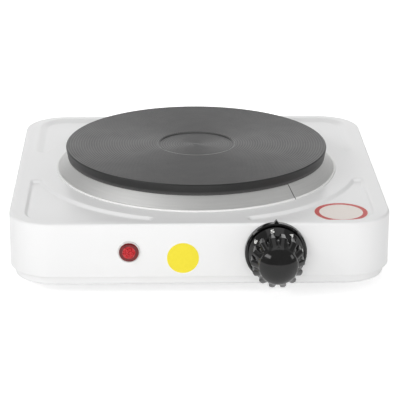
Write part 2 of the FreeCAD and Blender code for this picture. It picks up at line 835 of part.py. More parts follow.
def at_control(thing, label, x, v="0", depth="0"):
    return finished(thing, label, x, f"-({FRONT} + {depth})", f"{CONTROL_LEVEL} + {v}", FACING_FRONT)


def make_knob_bezel():
    """A shallow cup round the knob's skirt, with a pointer on its rim."""
    hole = "bush_radius + bush_clearance"
    rim = "bezel_radius - bezel_rim_width"
    bevel = "bezel_rim_width / 2"
    bezel = turned(
        "knob_bezel",
        (hole, "0"), ("bezel_radius", "0"), ("bezel_radius", f"bezel_rim - {bevel}"),
        (f"bezel_radius - {bevel}", "bezel_rim"), (rim, "bezel_rim"),
        (rim, "bezel_floor"), (hole, "bezel_floor"),
    )
    pointer = sketch_on(bezel)
    foot = f"bezel_radius - {bevel}"
    outline(pointer, ("-pointer_width / 2", foot), ("pointer_width / 2", foot),
            ("0", "bezel_radius + pointer_reach"))
    pad(bezel, pointer, "pointer_metal")
    holes = sketch_on(bezel, height="bezel_floor")
    for sign in (-1, 1):
        circle(holes, "mount_screw_radius + screw_clearance", f"{sign} * mount_screw_spacing / 2")
    cut(bezel, holes, "2 * bezel_floor")
    at_control(bezel, "knob_bezel", KNOB_X)


def d_outline(sketch, radius, flat):
    """A round with one flat side below."""
    half = f"sqrt(({radius})^2 - ({flat})^2)"
    outline(sketch, (f"-{half}", f"-({flat})"), (half, f"-({flat})", radius, 1), ("0", radius, radius, 1))


def make_knob():
    """A domed grip with rounded lobes above a sloping dial skirt, hollow behind."""
    skirt = "(bezel_radius - bezel_rim_width - skirt_gap)"
    hollow = f"{skirt} - hollow_wall"
    hollow_end = f"{KNOB_BACK} + hollow_depth"
    dome_rise = "(knob_reach - dome_start)"
    knob = turned(
        "knob",
        ("0", KNOB_BACK), ("hub_radius", KNOB_BACK), ("hub_radius", hollow_end), (hollow, hollow_end),
        (hollow, KNOB_BACK), (skirt, KNOB_BACK), (skirt, f"{KNOB_BACK} + skirt_rim"),
        ("grip_core_radius", "grip_start"), ("grip_core_radius", "grip_end"),
        ("dome_radius", "dome_start", f"(dome_radius^2 + {dome_rise}^2) / (2 * {dome_rise})", 1),
        ("0", "knob_reach"),
    )
    lobe_axis = "(grip_radius - lobe_radius)"
    lobe_end = "(dome_radius - lobe_radius)"
    lean = f"atan2({lobe_axis} - {lobe_end}; dome_start - lobe_sink - grip_end)"
    path = sketch_on(knob, "XZ_Plane")
    outline(
        path,
        (lobe_axis, "grip_start"),
        (lobe_axis, "grip_end - lobe_bend", f"lobe_bend / tan({lean} / 2)", 1),
        (f"{lobe_axis} - lobe_bend * sin({lean})", f"grip_end + lobe_bend * cos({lean})"),
        (lobe_end, "dome_start - lobe_sink"),
        closed=False,
    )
    section = sketch_on(knob, height="grip_start")
    circle(section, "lobe_radius", lobe_axis)
    lobe = add(knob, "AdditivePipe", section)
    lobe.Spine = path
    path.Visibility = False
    lobes = knob.newObject("PartDesign::PolarPattern", "lobes")
    lobes.Originals = [lobe]
    lobes.Axis = (section, ["N_Axis"])
    bind(lobes, Occurrences="lobe_count")
    knob.Tip = lobes
    bore = sketch_on(knob, height=KNOB_BACK)
    d_outline(bore, "(spindle_radius + knob_bore_fit)", "(spindle_flat + knob_bore_fit)")
    cut(knob, bore, "spindle_seat + knob_bore_fit", along_normal=True)
    at_control(knob, "knob", KNOB_X)


def make_spindle():
    body = new_body("thermostat_spindle")
    shaft = sketch_on(body, height=f"{CAM_BACK} - spindle_tail")
    circle(shaft, "spindle_radius")
    pad(body, shaft, f"{KNOB_BACK} - {CAM_BACK} + spindle_tail")
    seat = sketch_on(body, height=KNOB_BACK)
    d_outline(seat, "spindle_radius", "spindle_flat")
    pad(body, seat, "spindle_seat")
    at_control(body, "thermostat_spindle", KNOB_X)


def make_snail_cam():
    """A plate cam whose radius grows steadily over the knob's travel, with a flat across the rest."""
    span_count = 12
    start, travel = -number("knob_turn_on"), number(KNOB_TRAVEL)
    low, rise = number("cam_low"), number("cam_rise")
    points = []
    for step in range(span_count + 1):
        share = step / span_count
        angle = math.radians(start + travel * share)
        radius = low + rise * share
        points.append(Vector(radius * math.sin(angle), radius * math.cos(angle), 0))
    spiral = Part.BSplineCurve()
    spiral.interpolate(points)
    edge = Part.Wire([spiral.toShape(), Part.makeLine(points[-1], points[0])])
    width = Vector(0, 0, number("cam_width"))
    plate = Part.Face(edge).extrude(width)
    bore = Part.makeCylinder(number("spindle_radius + cam_bore_fit"), width.z)
    cam = document.addObject("Part::Feature", "snail_cam")
    cam.Shape = plate.cut(bore)
    at_control(cam, "snail_cam", KNOB_X, depth=CAM_BACK)


def make_contact_lever():
    body = new_body("contact_lever")
    pivot = "-lever_length"
    arm_under = f"{LEVER_LEVEL} - lever_metal / 2"
    shapes = [sketch_on(body, height=CAM_BACK) for _ in range(4)]
    rectangle(shapes[0], pivot, "lever_tail", arm_under, f"{LEVER_LEVEL} + lever_metal / 2")
    circle(shapes[1], "lever_eye_radius", pivot, LEVER_LEVEL)
    circle(shapes[2], "lever_nub_radius", "0", NUB_LEVEL)
    rectangle(shapes[3], "lever_tail - contact_width", "lever_tail",
              f"{arm_under} - contact_height", arm_under)
    for shape in shapes:
        pad(body, shape, "cam_width")
    eye = sketch_on(body, height=CAM_BACK)
    circle(eye, "lever_pin_radius + running_fit", pivot, LEVER_LEVEL)
    cut(body, eye, "cam_width", along_normal=True)
    at_control(body, "contact_lever", KNOB_X)


def make_lever_pin():
    tail = f"({CAM_BACK} - lever_pin_tail)"
    stem = cylinder("lever_pin_radius", f"-wall - {tail}")
    at_control(stem, "lever_pin", f"{KNOB_X} - lever_length", LEVER_LEVEL, tail)


def make_thermostat_frame():
    """A bent bracket behind the front wall, with the spindle's bush on it."""
    body = new_body("thermostat_frame")
    inner = "(ceramic_height / 2)"
    outer = "(ceramic_height / 2 + frame_metal)"
    plate_back = "(-wall - frame_metal)"
    side = sketch_on(body, "YZ_Plane", "-frame_left")
    outline(
        side,
        (f"-{outer}", "-wall"), (f"-{outer}", CERAMIC_BACK),
        (f"-{inner}", CERAMIC_BACK), (f"-{inner}", plate_back),
        (inner, plate_back), (inner, CERAMIC_BACK), (outer, CERAMIC_BACK), (outer, "-wall"),
    )
    pad(body, side, "frame_left + frame_right")
    bush = sketch_on(body, height=plate_back)
    circle(bush, "bush_radius")
    pad(body, bush, f"bush_reach - {plate_back}")
    bore = sketch_on(body, height="bush_reach")
    circle(bore, "spindle_radius + running_fit")
    cut(body, bore, f"bush_reach - {plate_back} + frame_metal")
    holes = sketch_on(body, height="-wall")
    for sign in (-1, 1):
        circle(holes, "mount_screw_radius + screw_clearance", f"{sign} * mount_screw_spacing / 2")
    circle(holes, "lever_pin_radius + running_fit", "-lever_length", LEVER_LEVEL)
    cut(body, holes, "2 * frame_metal")
    at_control(body, "thermostat_frame", KNOB_X)


def make_thermostat_screws():
    screws = [
        screw("mount_screw_radius", "mount_screw_length", "mount_screw_head", "mount_screw_head_height",
              f"{sign} * mount_screw_spacing / 2")
        for sign in (-1, 1)
    ]
    seat = f"-({FRONT} + bezel_floor)"
    finished(group(*screws), "thermostat_screws", KNOB_X, seat, CONTROL_LEVEL, FACING_REAR)


def make_thermostat_ceramic():
    body = new_body("thermostat_ceramic")
    block = sketch_on(body, height=CERAMIC_BACK)
    rounded_rectangle(block, "ceramic_width", "ceramic_height", "frame_metal")
    pad(body, block, "ceramic_length")
    at_control(body, "thermostat_ceramic", KNOB_X)


def bent_strip(name, width, x, top, metal, foot, face, reach):
    """An angle of strip: a foot flat on a face, and an arm square to it from its top edge."""
    body = new_body(name)
    direction = math.copysign(1, number(f"{reach} - {face}"))
    foot_face = f"{face} + {direction} * {metal}"
    side = sketch_on(body, "YZ_Plane", f"{x} - {width} / 2")
    outline(side, (top, face), (top, reach), (f"{top} - {metal}", reach), (f"{top} - {metal}", foot_face),
            (f"{top} - {foot}", foot_face), (f"{top} - {foot}", face))
    pad(body, side, width)
    at_control(body, name, KNOB_X)


def make_thermostat_strips():
    bent_strip("fixed_contact", "contact_width", CONTACT_X, FIXED_CONTACT_TOP, "fixed_contact_metal",
               "fixed_contact_foot", CERAMIC_FACE, "(-cam_start)")
    bimetal_top = "(ceramic_height / 2 - bimetal_inset)"
    bent_strip("bimetal_strip", "bimetal_width", "0", bimetal_top, "bimetal_metal",
               "bimetal_foot", CERAMIC_BACK, f"({CERAMIC_BACK} - bimetal_length)")


def box(length, width, height, x="0", y="0", z="0"):
    """A box whose x and y give its middle and z its underside."""
    solid = document.addObject("Part::Box", "box")
    bind(solid, Length=length, Width=width, Height=height)
    bind(solid, Placement__Base__x=f"{x} - {length} / 2", Placement__Base__y=f"{y} - {width} / 2")
    bind(solid, Placement__Base__z=z)
    return solid


def make_thermostat_tabs():
    tabs = [
        box("tab_metal", "tab_width", "tab_length", f"{sign} * tab_spacing / 2", "-tab_drop",
            f"{CERAMIC_BACK} - tab_length")
        for sign in (-1, 1)
    ]
    at_control(group(*tabs), "thermostat_tabs", KNOB_X)


# Pilot lamp


def make_lamp():
    lens = turned(
        "lamp_lens",
        ("0", "lens_flange - lens_front_wall"), ("lens_bore_radius", "lens_flange - lens_front_wall"),
        ("lens_bore_radius", "-lens_barrel_length"), ("lens_barrel_radius", "-lens_barrel_length"),
        ("lens_barrel_radius", "0"), ("lens_radius", "0"), ("lens_radius", "lens_flange"),
        ("lens_cap_radius", "lens_flange"),
        ("lens_cap_radius", "lens_cap_height - lens_cap_bend", "lens_cap_bend", 1),
        ("lens_cap_radius - lens_cap_bend", "lens_cap_height"), ("0", "lens_cap_height"),
    )
    at_control(lens, "lamp_lens", LAMP_X)
    retainer = turned(
        "lamp_retainer",
        ("lens_barrel_radius + lens_clearance", "-wall - retainer_metal"),
        ("retainer_radius", "-wall - retainer_metal"), ("retainer_radius", "-wall"),
        ("lens_barrel_radius + lens_clearance", "-wall"),
    )
    at_control(retainer, "lamp_retainer", LAMP_X)
    seat = "(lens_front_wall - lens_flange + neon_clearance)"
    neon_back = f"(-{seat} - neon_length)"
    neon = turned(
        "neon_lamp",
        ("0", neon_back), ("neon_radius", neon_back),
        ("neon_radius", f"-{seat} - neon_radius", "neon_radius", 1), ("0", f"-{seat}"),
    )
    at_control(neon, "neon_lamp", LAMP_X)
    socket = "neon_radius + neon_clearance"
    holder_back = "-lens_barrel_length - holder_length"
    holder = turned(
        "lamp_holder",
        ("0", holder_back), ("lens_barrel_radius", holder_back),
        ("lens_barrel_radius", "-lens_barrel_length"), (socket, "-lens_barrel_length"), (socket, neon_back),
        ("0", neon_back),
    )
    at_control(holder, "lamp_holder", LAMP_X)


# Cord entry and wiring


def make_cord_gland():
    inner_end = "-wall - gland_inner_flange"
    gland = turned(
        "cord_gland",
        ("gland_bore_radius", inner_end), ("gland_inner_radius", inner_end),
        ("gland_inner_radius", "-wall"), ("gland_neck_radius", "-wall"), ("gland_neck_radius", "0"),
        ("gland_flange_radius", "0"), ("gland_flange_radius", "gland_reach - gland_round", "gland_round", 1),
        ("gland_flange_radius - gland_round", "gland_reach"), ("gland_bore_radius", "gland_reach"),
    )
    finished(gland, "cord_gland", GLAND_X, FRONT, CONTROL_LEVEL, FACING_REAR)


def make_cord_block():
    body = new_body("cord_block")
    base = sketch_on(body)
    rectangle(base, "-block_width / 2", "block_width / 2", "-block_depth / 2", "block_depth / 2")
    pad(body, base, "block_height")
    wells = sketch_on(body, height="block_height")
    screws = []
    for place in (-1, 0, 1):
        circle(wells, "well_radius", f"{place} * block_pitch")
        screws.append(cylinder("well_radius - well_clearance", "well_screw_height", f"{place} * block_pitch",
                               z="block_height - well_depth"))
    cut(body, wells, "well_depth")
    middle = f"{BLOCK_FRONT} + block_depth / 2"
    finished(body, "cord_block", GLAND_X, middle, FLOOR_TOP)
    finished(group(*screws), "cord_block_screws", GLAND_X, middle, FLOOR_TOP)


def make_earth():
    """A crimped lug held down on the base pan by its own screw."""
    body = new_body("earth_lug")
    ring = sketch_on(body)
    circle(ring, "lug_radius")
    pad(body, ring, "lug_metal")
    barrel = sketch_on(body, "YZ_Plane", LUG_END)
    circle(barrel, "lug_barrel_radius", "0", LUG_LEVEL)
    pad(body, barrel, "lug_barrel_length")
    hole = sketch_on(body, height="lug_metal")
    circle(hole, "screw_radius + screw_clearance")
    cut(body, hole, "lug_metal")
    finished(body, "earth_lug", EARTH_X, EARTH_Y, FLOOR_TOP)
    earth = screw("screw_radius", "earth_screw_length", "screw_head_radius", "screw_head_height")
    finished(earth, "earth_screw", EARTH_X, EARTH_Y, f"{FLOOR_TOP} + lug_metal", FACING_DOWN)


def place_of(x, y, z):
    return Vector(number(x), number(y), number(z))


def lead_path(points):
    """Straight runs joined by tangent arcs as large as the runs beside them allow."""
    share = 0.45
    edges = []
    start = points[0]
    for before, corner, after in zip(points, points[1:], points[2:]):
        back, ahead = before - corner, after - corner
        reach = share * min(back.Length, ahead.Length)
        first = corner + Vector(back).normalize() * reach
        last = corner + Vector(ahead).normalize() * reach
        turn = math.pi - back.getAngle(ahead)
        inward = (Vector(back).normalize() + Vector(ahead).normalize()).normalize()
        radius = reach / math.tan(turn / 2)
        centre = corner + inward * (radius / math.cos(turn / 2))
        middle = centre - inward * radius
        edges.append(Part.makeLine(start, first))
        edges.append(Part.Arc(first, middle, last).toShape())
        start = last
    edges.append(Part.makeLine(start, points[-1]))
    return Part.Wire(edges)


def make_lead(label, radius, *points):
    """A round lead along a hand-laid route."""
    path = lead_path(points)
    ring = Part.Wire([Part.makeCircle(radius, points[0], points[1] - points[0])])
    lead = document.addObject("Part::Feature", label)
    lead.Shape = path.makePipeShell([ring], True, False)
    expected = math.pi * radius ** 2 * path.Length
    if abs(lead.Shape.Volume - expected) > 0.01 * expected:
        raise RuntimeError(f"{label} is not a plain tube along its route")
    finished(lead, label)


def make_leads():
    thick, thin = number("lead_radius"), number("lamp_lead_radius")
    terminal_level = f"{FLOOR_TOP} + block_height / 2"
    neutral, live, earth = [
        place_of(f"{GLAND_X} + {place} * block_pitch", BLOCK_FRONT, terminal_level) for place in (-1, 0, 1)]
    tab_y = f"-({FRONT} + {CERAMIC_BACK} - tab_length)"
    tab_level = f"{CONTROL_LEVEL} - tab_drop"
    tab_in, tab_out = [
        place_of(f"{KNOB_X} + {sign} * tab_spacing / 2", tab_y, tab_level) for sign in (-1, 1)]
    inner_left, inner_right, outer_left, outer_right = [
        place_of(f"{sign} * coil_end_offset", coil_end_y(coil), SLEEVE_UNDER)
        for coil in ("inner_coil_radius", "outer_coil_radius") for sign in (-1, 1)]
    lamp_back = f"-({FRONT} - lens_barrel_length - holder_length)"
    lamp_left, lamp_right = [
        place_of(f"{LAMP_X} + {sign} * lamp_lead_spacing / 2", lamp_back, CONTROL_LEVEL) for sign in (-1, 1)]
    lug_end = place_of(f"{EARTH_X} + {LUG_END}", EARTH_Y, f"{FLOOR_TOP} + {LUG_LEVEL}")
    below = place_of("0", "0", "-terminal_drop")
    inward = place_of("0", "-lead_stub", "0")
    before_lug = lug_end - place_of("lug_stub", "0", "0")
    make_lead("live_lead", thick, live, live + inward, Vector(-45, 44, 17), Vector(-26, 16, 18),
              Vector(-5, -12, 16), Vector(14, -36, 15), Vector(28, -50, 20), tab_in - inward, tab_in)
    make_lead("switched_lead", thick, tab_out, tab_out - inward, Vector(46, -36, 16), Vector(36, -12, 12.5),
              Vector(21, 12, 11), Vector(10, 28, 10.5), inner_right + below, inner_right)
    make_lead("neutral_lead", thick, neutral, neutral + inward, Vector(-54, 47, 12.5), Vector(-34, 36, 11.5),
              Vector(-14, 33, 10.5), inner_left + below, inner_left)
    make_lead("lamp_switched_lead", thin, lamp_right, lamp_right - inward, Vector(-45, -56, 20),
              Vector(-54, -32, 12), Vector(-56, -2, 9.8), Vector(-49, 24, 9.2), Vector(-31, 43, 9.2),
              Vector(-8, 48.5, 9.2), outer_right + below, outer_right)
    make_lead("lamp_neutral_lead", thin, lamp_left, lamp_left - inward, Vector(-51, -56, 20),
              Vector(-60, -32, 12), Vector(-62, -2, 9.8), Vector(-55, 27, 9.2), Vector(-36, 45, 9.2),
              Vector(-16, 50.5, 13), outer_left + below, outer_left)
    make_lead("earth_lead", thick, earth, earth + inward, before_lug, lug_end)


make_top_housing()
make_base_pan()
make_feet()
make_pillars()
make_base_screws()
make_hot_plate()
make_trim_ring()
for coil_name in ("inner", "outer"):
    make_coil(coil_name)
    make_insulation(coil_name)
make_plate_cover()
make_coil_block()
make_coil_links()
make_terminal_sleeves()
make_clamp_bar()
make_stud_and_nut()
make_knob_bezel()
make_knob()
make_spindle()
make_snail_cam()
make_contact_lever()
make_lever_pin()
make_thermostat_frame()
make_thermostat_screws()
make_thermostat_ceramic()
make_thermostat_strips()
make_thermostat_tabs()
make_lamp()
make_cord_gland()
make_cord_block()
make_earth()
make_leads()
document.recompute()

for thing in document.Objects:
    if "Invalid" in thing.State or "Error" in thing.State:
        raise RuntimeError(f"{thing.Name} failed: {thing.State}")
for subpart in subparts:
    if subpart.Shape.isNull() or not subpart.Shape.isValid() or not subpart.Shape.Solids:
        raise RuntimeError(f"{subpart.Label} has no valid solid")

os.makedirs("parts", exist_ok=True)
for subpart in subparts:
    subpart.Shape.exportStep(f"parts/{subpart.Label}.step")
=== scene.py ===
# A single-plate electric hot plate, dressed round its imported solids. Metres, +Z up, front towards -Y.
import math

import bmesh
import bpy
from mathutils import Matrix, Vector
from mathutils.geometry import delaunay_2d_cdt


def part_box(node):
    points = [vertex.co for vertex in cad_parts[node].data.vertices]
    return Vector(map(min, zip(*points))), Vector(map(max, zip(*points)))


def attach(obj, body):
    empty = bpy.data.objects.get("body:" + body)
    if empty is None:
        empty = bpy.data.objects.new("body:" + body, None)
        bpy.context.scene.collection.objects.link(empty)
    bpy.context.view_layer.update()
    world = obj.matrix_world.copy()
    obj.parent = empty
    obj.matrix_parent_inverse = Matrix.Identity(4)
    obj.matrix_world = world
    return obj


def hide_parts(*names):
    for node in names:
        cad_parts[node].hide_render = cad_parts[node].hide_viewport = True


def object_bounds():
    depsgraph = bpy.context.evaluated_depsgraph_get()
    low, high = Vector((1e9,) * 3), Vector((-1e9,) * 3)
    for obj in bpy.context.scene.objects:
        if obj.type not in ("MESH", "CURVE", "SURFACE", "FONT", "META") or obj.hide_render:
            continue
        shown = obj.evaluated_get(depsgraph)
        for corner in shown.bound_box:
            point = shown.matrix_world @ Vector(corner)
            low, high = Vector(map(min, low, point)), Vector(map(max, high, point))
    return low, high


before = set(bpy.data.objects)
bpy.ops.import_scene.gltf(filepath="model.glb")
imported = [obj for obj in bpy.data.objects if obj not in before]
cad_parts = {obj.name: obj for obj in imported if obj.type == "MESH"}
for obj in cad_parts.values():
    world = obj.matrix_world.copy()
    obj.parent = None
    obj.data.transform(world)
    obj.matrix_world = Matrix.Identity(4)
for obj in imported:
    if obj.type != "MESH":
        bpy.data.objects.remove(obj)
cad_low, cad_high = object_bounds()

MM = 0.001

# The deck is drawn this much below the ring's foot in the frame.
DECK_SETTLING = 0.45 * MM

# Places and main sizes, read from the frame.
plate_low, plate_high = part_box("hot_plate")
ring_low, ring_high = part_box("trim_ring")
housing_low, housing_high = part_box("top_housing")
knob_low, knob_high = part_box("knob")
lens_low, lens_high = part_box("lamp_lens")
gland_low, gland_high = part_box("cord_gland")
AXIS = ((plate_low + plate_high) / 2).to_2d()
PLATE_RADIUS = (plate_high.x - plate_low.x) / 2
PLATE_TOP = plate_high.z
PLATE_UNDER = plate_low.z
PLATE_SEAT = ring_high.z
RING_RADIUS = (ring_high.x - ring_low.x) / 2
DECK_TOP = ring_low.z - DECK_SETTLING
HALF_WIDTH = (housing_high.x - housing_low.x) / 2
HALF_DEPTH = (housing_high.y - housing_low.y) / 2
FRONT = housing_low.y
REAR = housing_high.y
SKIRT_END = housing_low.z
KNOB = (knob_low + knob_high) / 2
LENS = (lens_low + lens_high) / 2
GLAND = (gland_low + gland_high) / 2

# Pressed housing
CORNER = 25 * MM
EDGE_ROUND = 1.5 * MM
WALL = 0.8 * MM
DECK_HOLE = 72.5 * MM
PLAN_STEP = 1.2 * MM
DECK_STEPS = 80
DECK_MARGIN = 14 * MM
MARGIN_STEPS = 28
ROUND_STEPS = 8
DECK_BUILD = 2.6 * MM
PRESSING_DEPTH = 1.5 * MM
PRESSING_ARC = 94 * MM
PRESSING_SLOPE = 2.7 * MM
PRESSING_SIDE_LAND = 8.25 * MM
PRESSING_FRONT_LAND = 5.25 * MM
PRESSING_FRONT_WALL = 2.6 * MM
PRESSING_REAR_WALL = 5.5 * MM
PRESSING_END = 26 * MM
PRESSING_END_SLOPE = 2.5 * MM
PRESSING_CORNER = 17 * MM
GLAND_NECK = 6 * MM
HOLE_SIDES = 48
HOLE_DEPTH = 8 * WALL

# The skirt's rolled end: insets and lifts, in halves of the wall.
SKIRT_ROLL = ((0, 1), (0.3, 0.3), (1, 0), (1.7, 0.3), (2, 1))

# Plate
TURNED_SIDES = 300
RECESS_RADIUS = 22.1 * MM
RECESS_DEPTH = 0.7 * MM
RECESS_SLOPE = 0.7 * MM
RECESS_EDGE = RECESS_RADIUS + RECESS_SLOPE
# Width of the pale ring painted round the recess's rim as a highlight.
RECESS_HIGHLIGHT_WIDTH = 0.4 * MM
RIM_ROUND = 0.9 * MM
PLATE_FOOT_RADIUS = 76.5 * MM
PLATE_BODY_RADIUS = 70 * MM
GROOVE_PITCH = 1.5 * MM
GROOVE_DEPTH = 0.16 * MM
GROOVE_POINTS = 4

# Trim ring
RING_METAL = 0.5 * MM
RING_HOLE = 70.6 * MM
RING_TOP = 77 * MM
RING_LIP = 1.1 * MM
RING_LIP_HEIGHT = 0.9 * MM
RING_BEND = 0.4 * MM
RING_BEND_STEPS = 3
RING_LIP_ROUND = 0.7 * MM
RING_LIP_STEPS = 4
SEAM_ANGLE = 41.3
SEAM_LAP = 0.35 * MM
SEAM_LAP_ANGLE = 4
SEAM_GAP_ANGLE = 0.45
SEAM_RISE_ANGLE = 5

# Knob, in millimetres. Depths are forward of the housing's front face.
KNOB_PROFILE = ((15.3, 2.0), (15.3, 4.2), (12.3, 9.6), (12.3, 17.4), (10.4, 23.8))
KNOB_REACH = 28.6
KNOB_SOFTENING = 0.35
LOBE_COUNT = 14
LOBE_RADIUS = 1.9
LOBE_AXIS = 12.5
LOBE_START = 9.6
LOBE_START_ROUND = 1.2
LOBE_BEND = 17.4
LOBE_FALL = 4.0
LOBE_RUN = 4.9
LOBE_LEAN = math.atan2(LOBE_FALL, LOBE_RUN)
LOBE_SQUARENESS = 3
LOBE_BLEND = 0.4
LOBE_POINTS = 24
KNOB_STEP = 0.4
DOME_STEPS = 14
KNOB_SHARP_ANGLE = math.radians(50)

# Dial numbers on the knob's sloping skirt, in millimetres and in degrees clockwise from the top.
NUMBER_HEIGHT = 2.5
NUMBER_STRETCH = 1.45
NUMBER_PLACE = 0.42
NUMBER_SLICE = 0.25
NUMBER_INK = 0.03
FONT_THICKNESS = 0.01
FONT_WEIGHT = 0.02
FIRST_NUMBER_ANGLE = 215
NUMBER_SPACING = 45
NUMBER_COUNT = 7

# Pilot lamp's lens
LENS_FLANGE_RADIUS = 6.2 * MM
LENS_FLANGE = 0.9 * MM
LENS_FLANGE_BEVEL = 0.36 * MM
LENS_FLANGE_BLEND = 0.12 * MM
LENS_CAP_RADIUS = 5.5 * MM
LENS_FACE_RADIUS = 3.6 * MM
LENS_FACE_RISE = 0.3 * MM
LENS_HEIGHT = 2.2 * MM
LENS_PYRAMID = 1.2 * MM
LENS_PYRAMID_HEIGHT = 0.45 * MM
LENS_FACET_MARGIN = 0.3 * MM
LENS_SIDES = 48
LENS_DEPTH = 9 * MM
LENS_BARREL = 4.6 * MM
LENS_BORE = 3.7 * MM
LENS_FRONT_WALL = 1.2 * MM

# Blank stickers
ROUND_STICKER = (78.9 * MM, -67.6 * MM)
ROUND_STICKER_RADIUS = 15.2 * MM
ROUND_STICKER_BAND = (12.2 * MM, 14.8 * MM)
FRONT_STICKER = (-9.8 * MM, 22.6 * MM)
FRONT_STICKER_RADIUS = 9.5 * MM
FRONT_STICKER_BORDER = 8.8 * MM
STICKER_HEIGHT = 0.12 * MM
STICKER_STEP = 0.8 * MM
STICKER_SIDES = 96

SHARP_ANGLE = math.radians(32)


# Mesh helpers


def skin(loops, closed=False):
    """Faces through loops of points, each loop closed on itself. A loop of one point is a tip."""
    shape = bmesh.new()
    rings = [[shape.verts.new(point) for point in loop] for loop in loops]
    followers = rings[1:] + (rings[:1] if closed else [])
    for ring, following in zip(rings, followers):
        for index in range(max(len(ring), len(following))):
            corners = [
                ring[index % len(ring)], ring[(index + 1) % len(ring)],
                following[(index + 1) % len(following)], following[index % len(following)],
            ]
            shape.faces.new(dict.fromkeys(corners))
    return shape


def smoothed(shape, sharp_angle=SHARP_ANGLE):
    """Turns the faces outwards and shades them smooth, except across sharp edges."""
    bmesh.ops.recalc_face_normals(shape, faces=shape.faces[:])
    for face in shape.faces:
        face.smooth = True
    for edge in shape.edges:
        edge.smooth = len(edge.link_faces) == 2 and edge.calc_face_angle() < sharp_angle
    return shape


def piece(name, shape, material, body, replaced=None):
    """A new object that rides on a body and may stand for a solid of the frame."""
    mesh = bpy.data.meshes.new(name)
    shape.to_mesh(mesh)
    shape.free()
    mesh.materials.append(material)
    thing = bpy.data.objects.new(name, mesh)
    bpy.context.scene.collection.objects.link(thing)
    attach(thing, body)
    if replaced:
        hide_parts(replaced)
    return thing


def paint(thing, material, chosen):
    """Gives another material to the faces whose middle is chosen."""
    thing.data.materials.append(material)
    for face in thing.data.polygons:
        if chosen(face.center):
            face.material_index = len(thing.data.materials) - 1


def distance_from(place, centre):
    return (place - Vector(centre)).length


def around_axis(radius, angle):
    """A place in plan about the plate's axis, with its angle from +X."""
    return AXIS.x + radius * math.cos(angle), AXIS.y + radius * math.sin(angle)


def turned(profile, sides):
    """Loops about the plate's axis through (radius, height) points. A point on the axis is a tip."""
    loops = []
    for radius, height in profile:
        angles = [2 * math.pi * side / sides for side in range(sides if radius else 1)]
        loops.append([(*around_axis(radius, angle), height) for angle in angles])
    return loops


def quarter_round(centre_radius, centre_height, size, steps):
    """Points on an outer quarter circle, from its top round to its side."""
    points = []
    for step in range(steps + 1):
        angle = math.radians(90 - 90 * step / steps)
        points.append((centre_radius + size * math.cos(angle), centre_height + size * math.sin(angle)))
    return points


def ramp(travel, width):
    """Rises smoothly from 0 to 1 over a width."""
    share = min(max(travel / width, 0), 1)
    return share * share * (3 - 2 * share)


def evaluated_mesh(thing):
    """A new mesh of an object as its curve or modifiers make it."""
    bpy.context.view_layer.update()
    return bpy.data.meshes.new_from_object(thing.evaluated_get(bpy.context.evaluated_depsgraph_get()))


# Material helpers

# Most of a noise pattern's values lie in this span.
NOISE_SPAN = (0.3, 0.7)


def new_material(name, metallic=0.0):
    material = bpy.data.materials.new(name)
    material.use_nodes = True
    shader = material.node_tree.nodes["Principled BSDF"]
    shader.inputs["Metallic"].default_value = metallic
    return material, shader


def noise(material, scale, stretch=(1, 1, 1), detail=3):
    """A noise pattern fixed to the piece. Its scale is in features per metre, about."""
    tree = material.node_tree
    place = tree.nodes.new("ShaderNodeTexCoord")
    mapping = tree.nodes.new("ShaderNodeMapping")
    mapping.inputs["Scale"].default_value = stretch
    texture = tree.nodes.new("ShaderNodeTexNoise")
    texture.inputs["Scale"].default_value = scale
    texture.inputs["Detail"].default_value = detail
    tree.links.new(place.outputs["Object"], mapping.inputs["Vector"])
    tree.links.new(mapping.outputs["Vector"], texture.inputs["Vector"])
    return texture.outputs["Fac"]


def vary_colour(material, shader, pattern, dark, light, span=(0.35, 0.65)):
    ramp_node = material.node_tree.nodes.new("ShaderNodeValToRGB")
    ends = ramp_node.color_ramp.elements
    ends[0].position, ends[1].position = span
    ends[0].color = (*dark, 1)
    ends[1].color = (*light, 1)
    material.node_tree.links.new(pattern, ramp_node.inputs["Fac"])
    material.node_tree.links.new(ramp_node.outputs["Color"], shader.inputs["Base Color"])


def vary_roughness(material, shader, pattern, low, high):
    spread = material.node_tree.nodes.new("ShaderNodeMapRange")
    spread.inputs["From Min"].default_value, spread.inputs["From Max"].default_value = NOISE_SPAN
    spread.inputs["To Min"].default_value = low
    spread.inputs["To Max"].default_value = high
    material.node_tree.links.new(pattern, spread.inputs["Value"])
    material.node_tree.links.new(spread.outputs["Result"], shader.inputs["Roughness"])


def emboss(material, shader, pattern, height, strength=1.0):
    bump = material.node_tree.nodes.new("ShaderNodeBump")
    bump.inputs["Strength"].default_value = strength
    bump.inputs["Distance"].default_value = height
    material.node_tree.links.new(pattern, bump.inputs["Height"])
    material.node_tree.links.new(bump.outputs["Normal"], shader.inputs["Normal"])


# Materials


def white_enamel():
    """Baked enamel with a faint orange peel."""
    material, shader = new_material("white_enamel_finish")
    shader.inputs["Specular IOR Level"].default_value = 0.35
    clouds = noise(material, 14)
    vary_colour(material, shader, clouds, (0.812, 0.812, 0.812), (0.82, 0.82, 0.82), (0.2, 0.8))
    vary_roughness(material, shader, noise(material, 60), 0.29, 0.33)
    emboss(material, shader, noise(material, 800, detail=1), 0.0006 * MM)
    return material


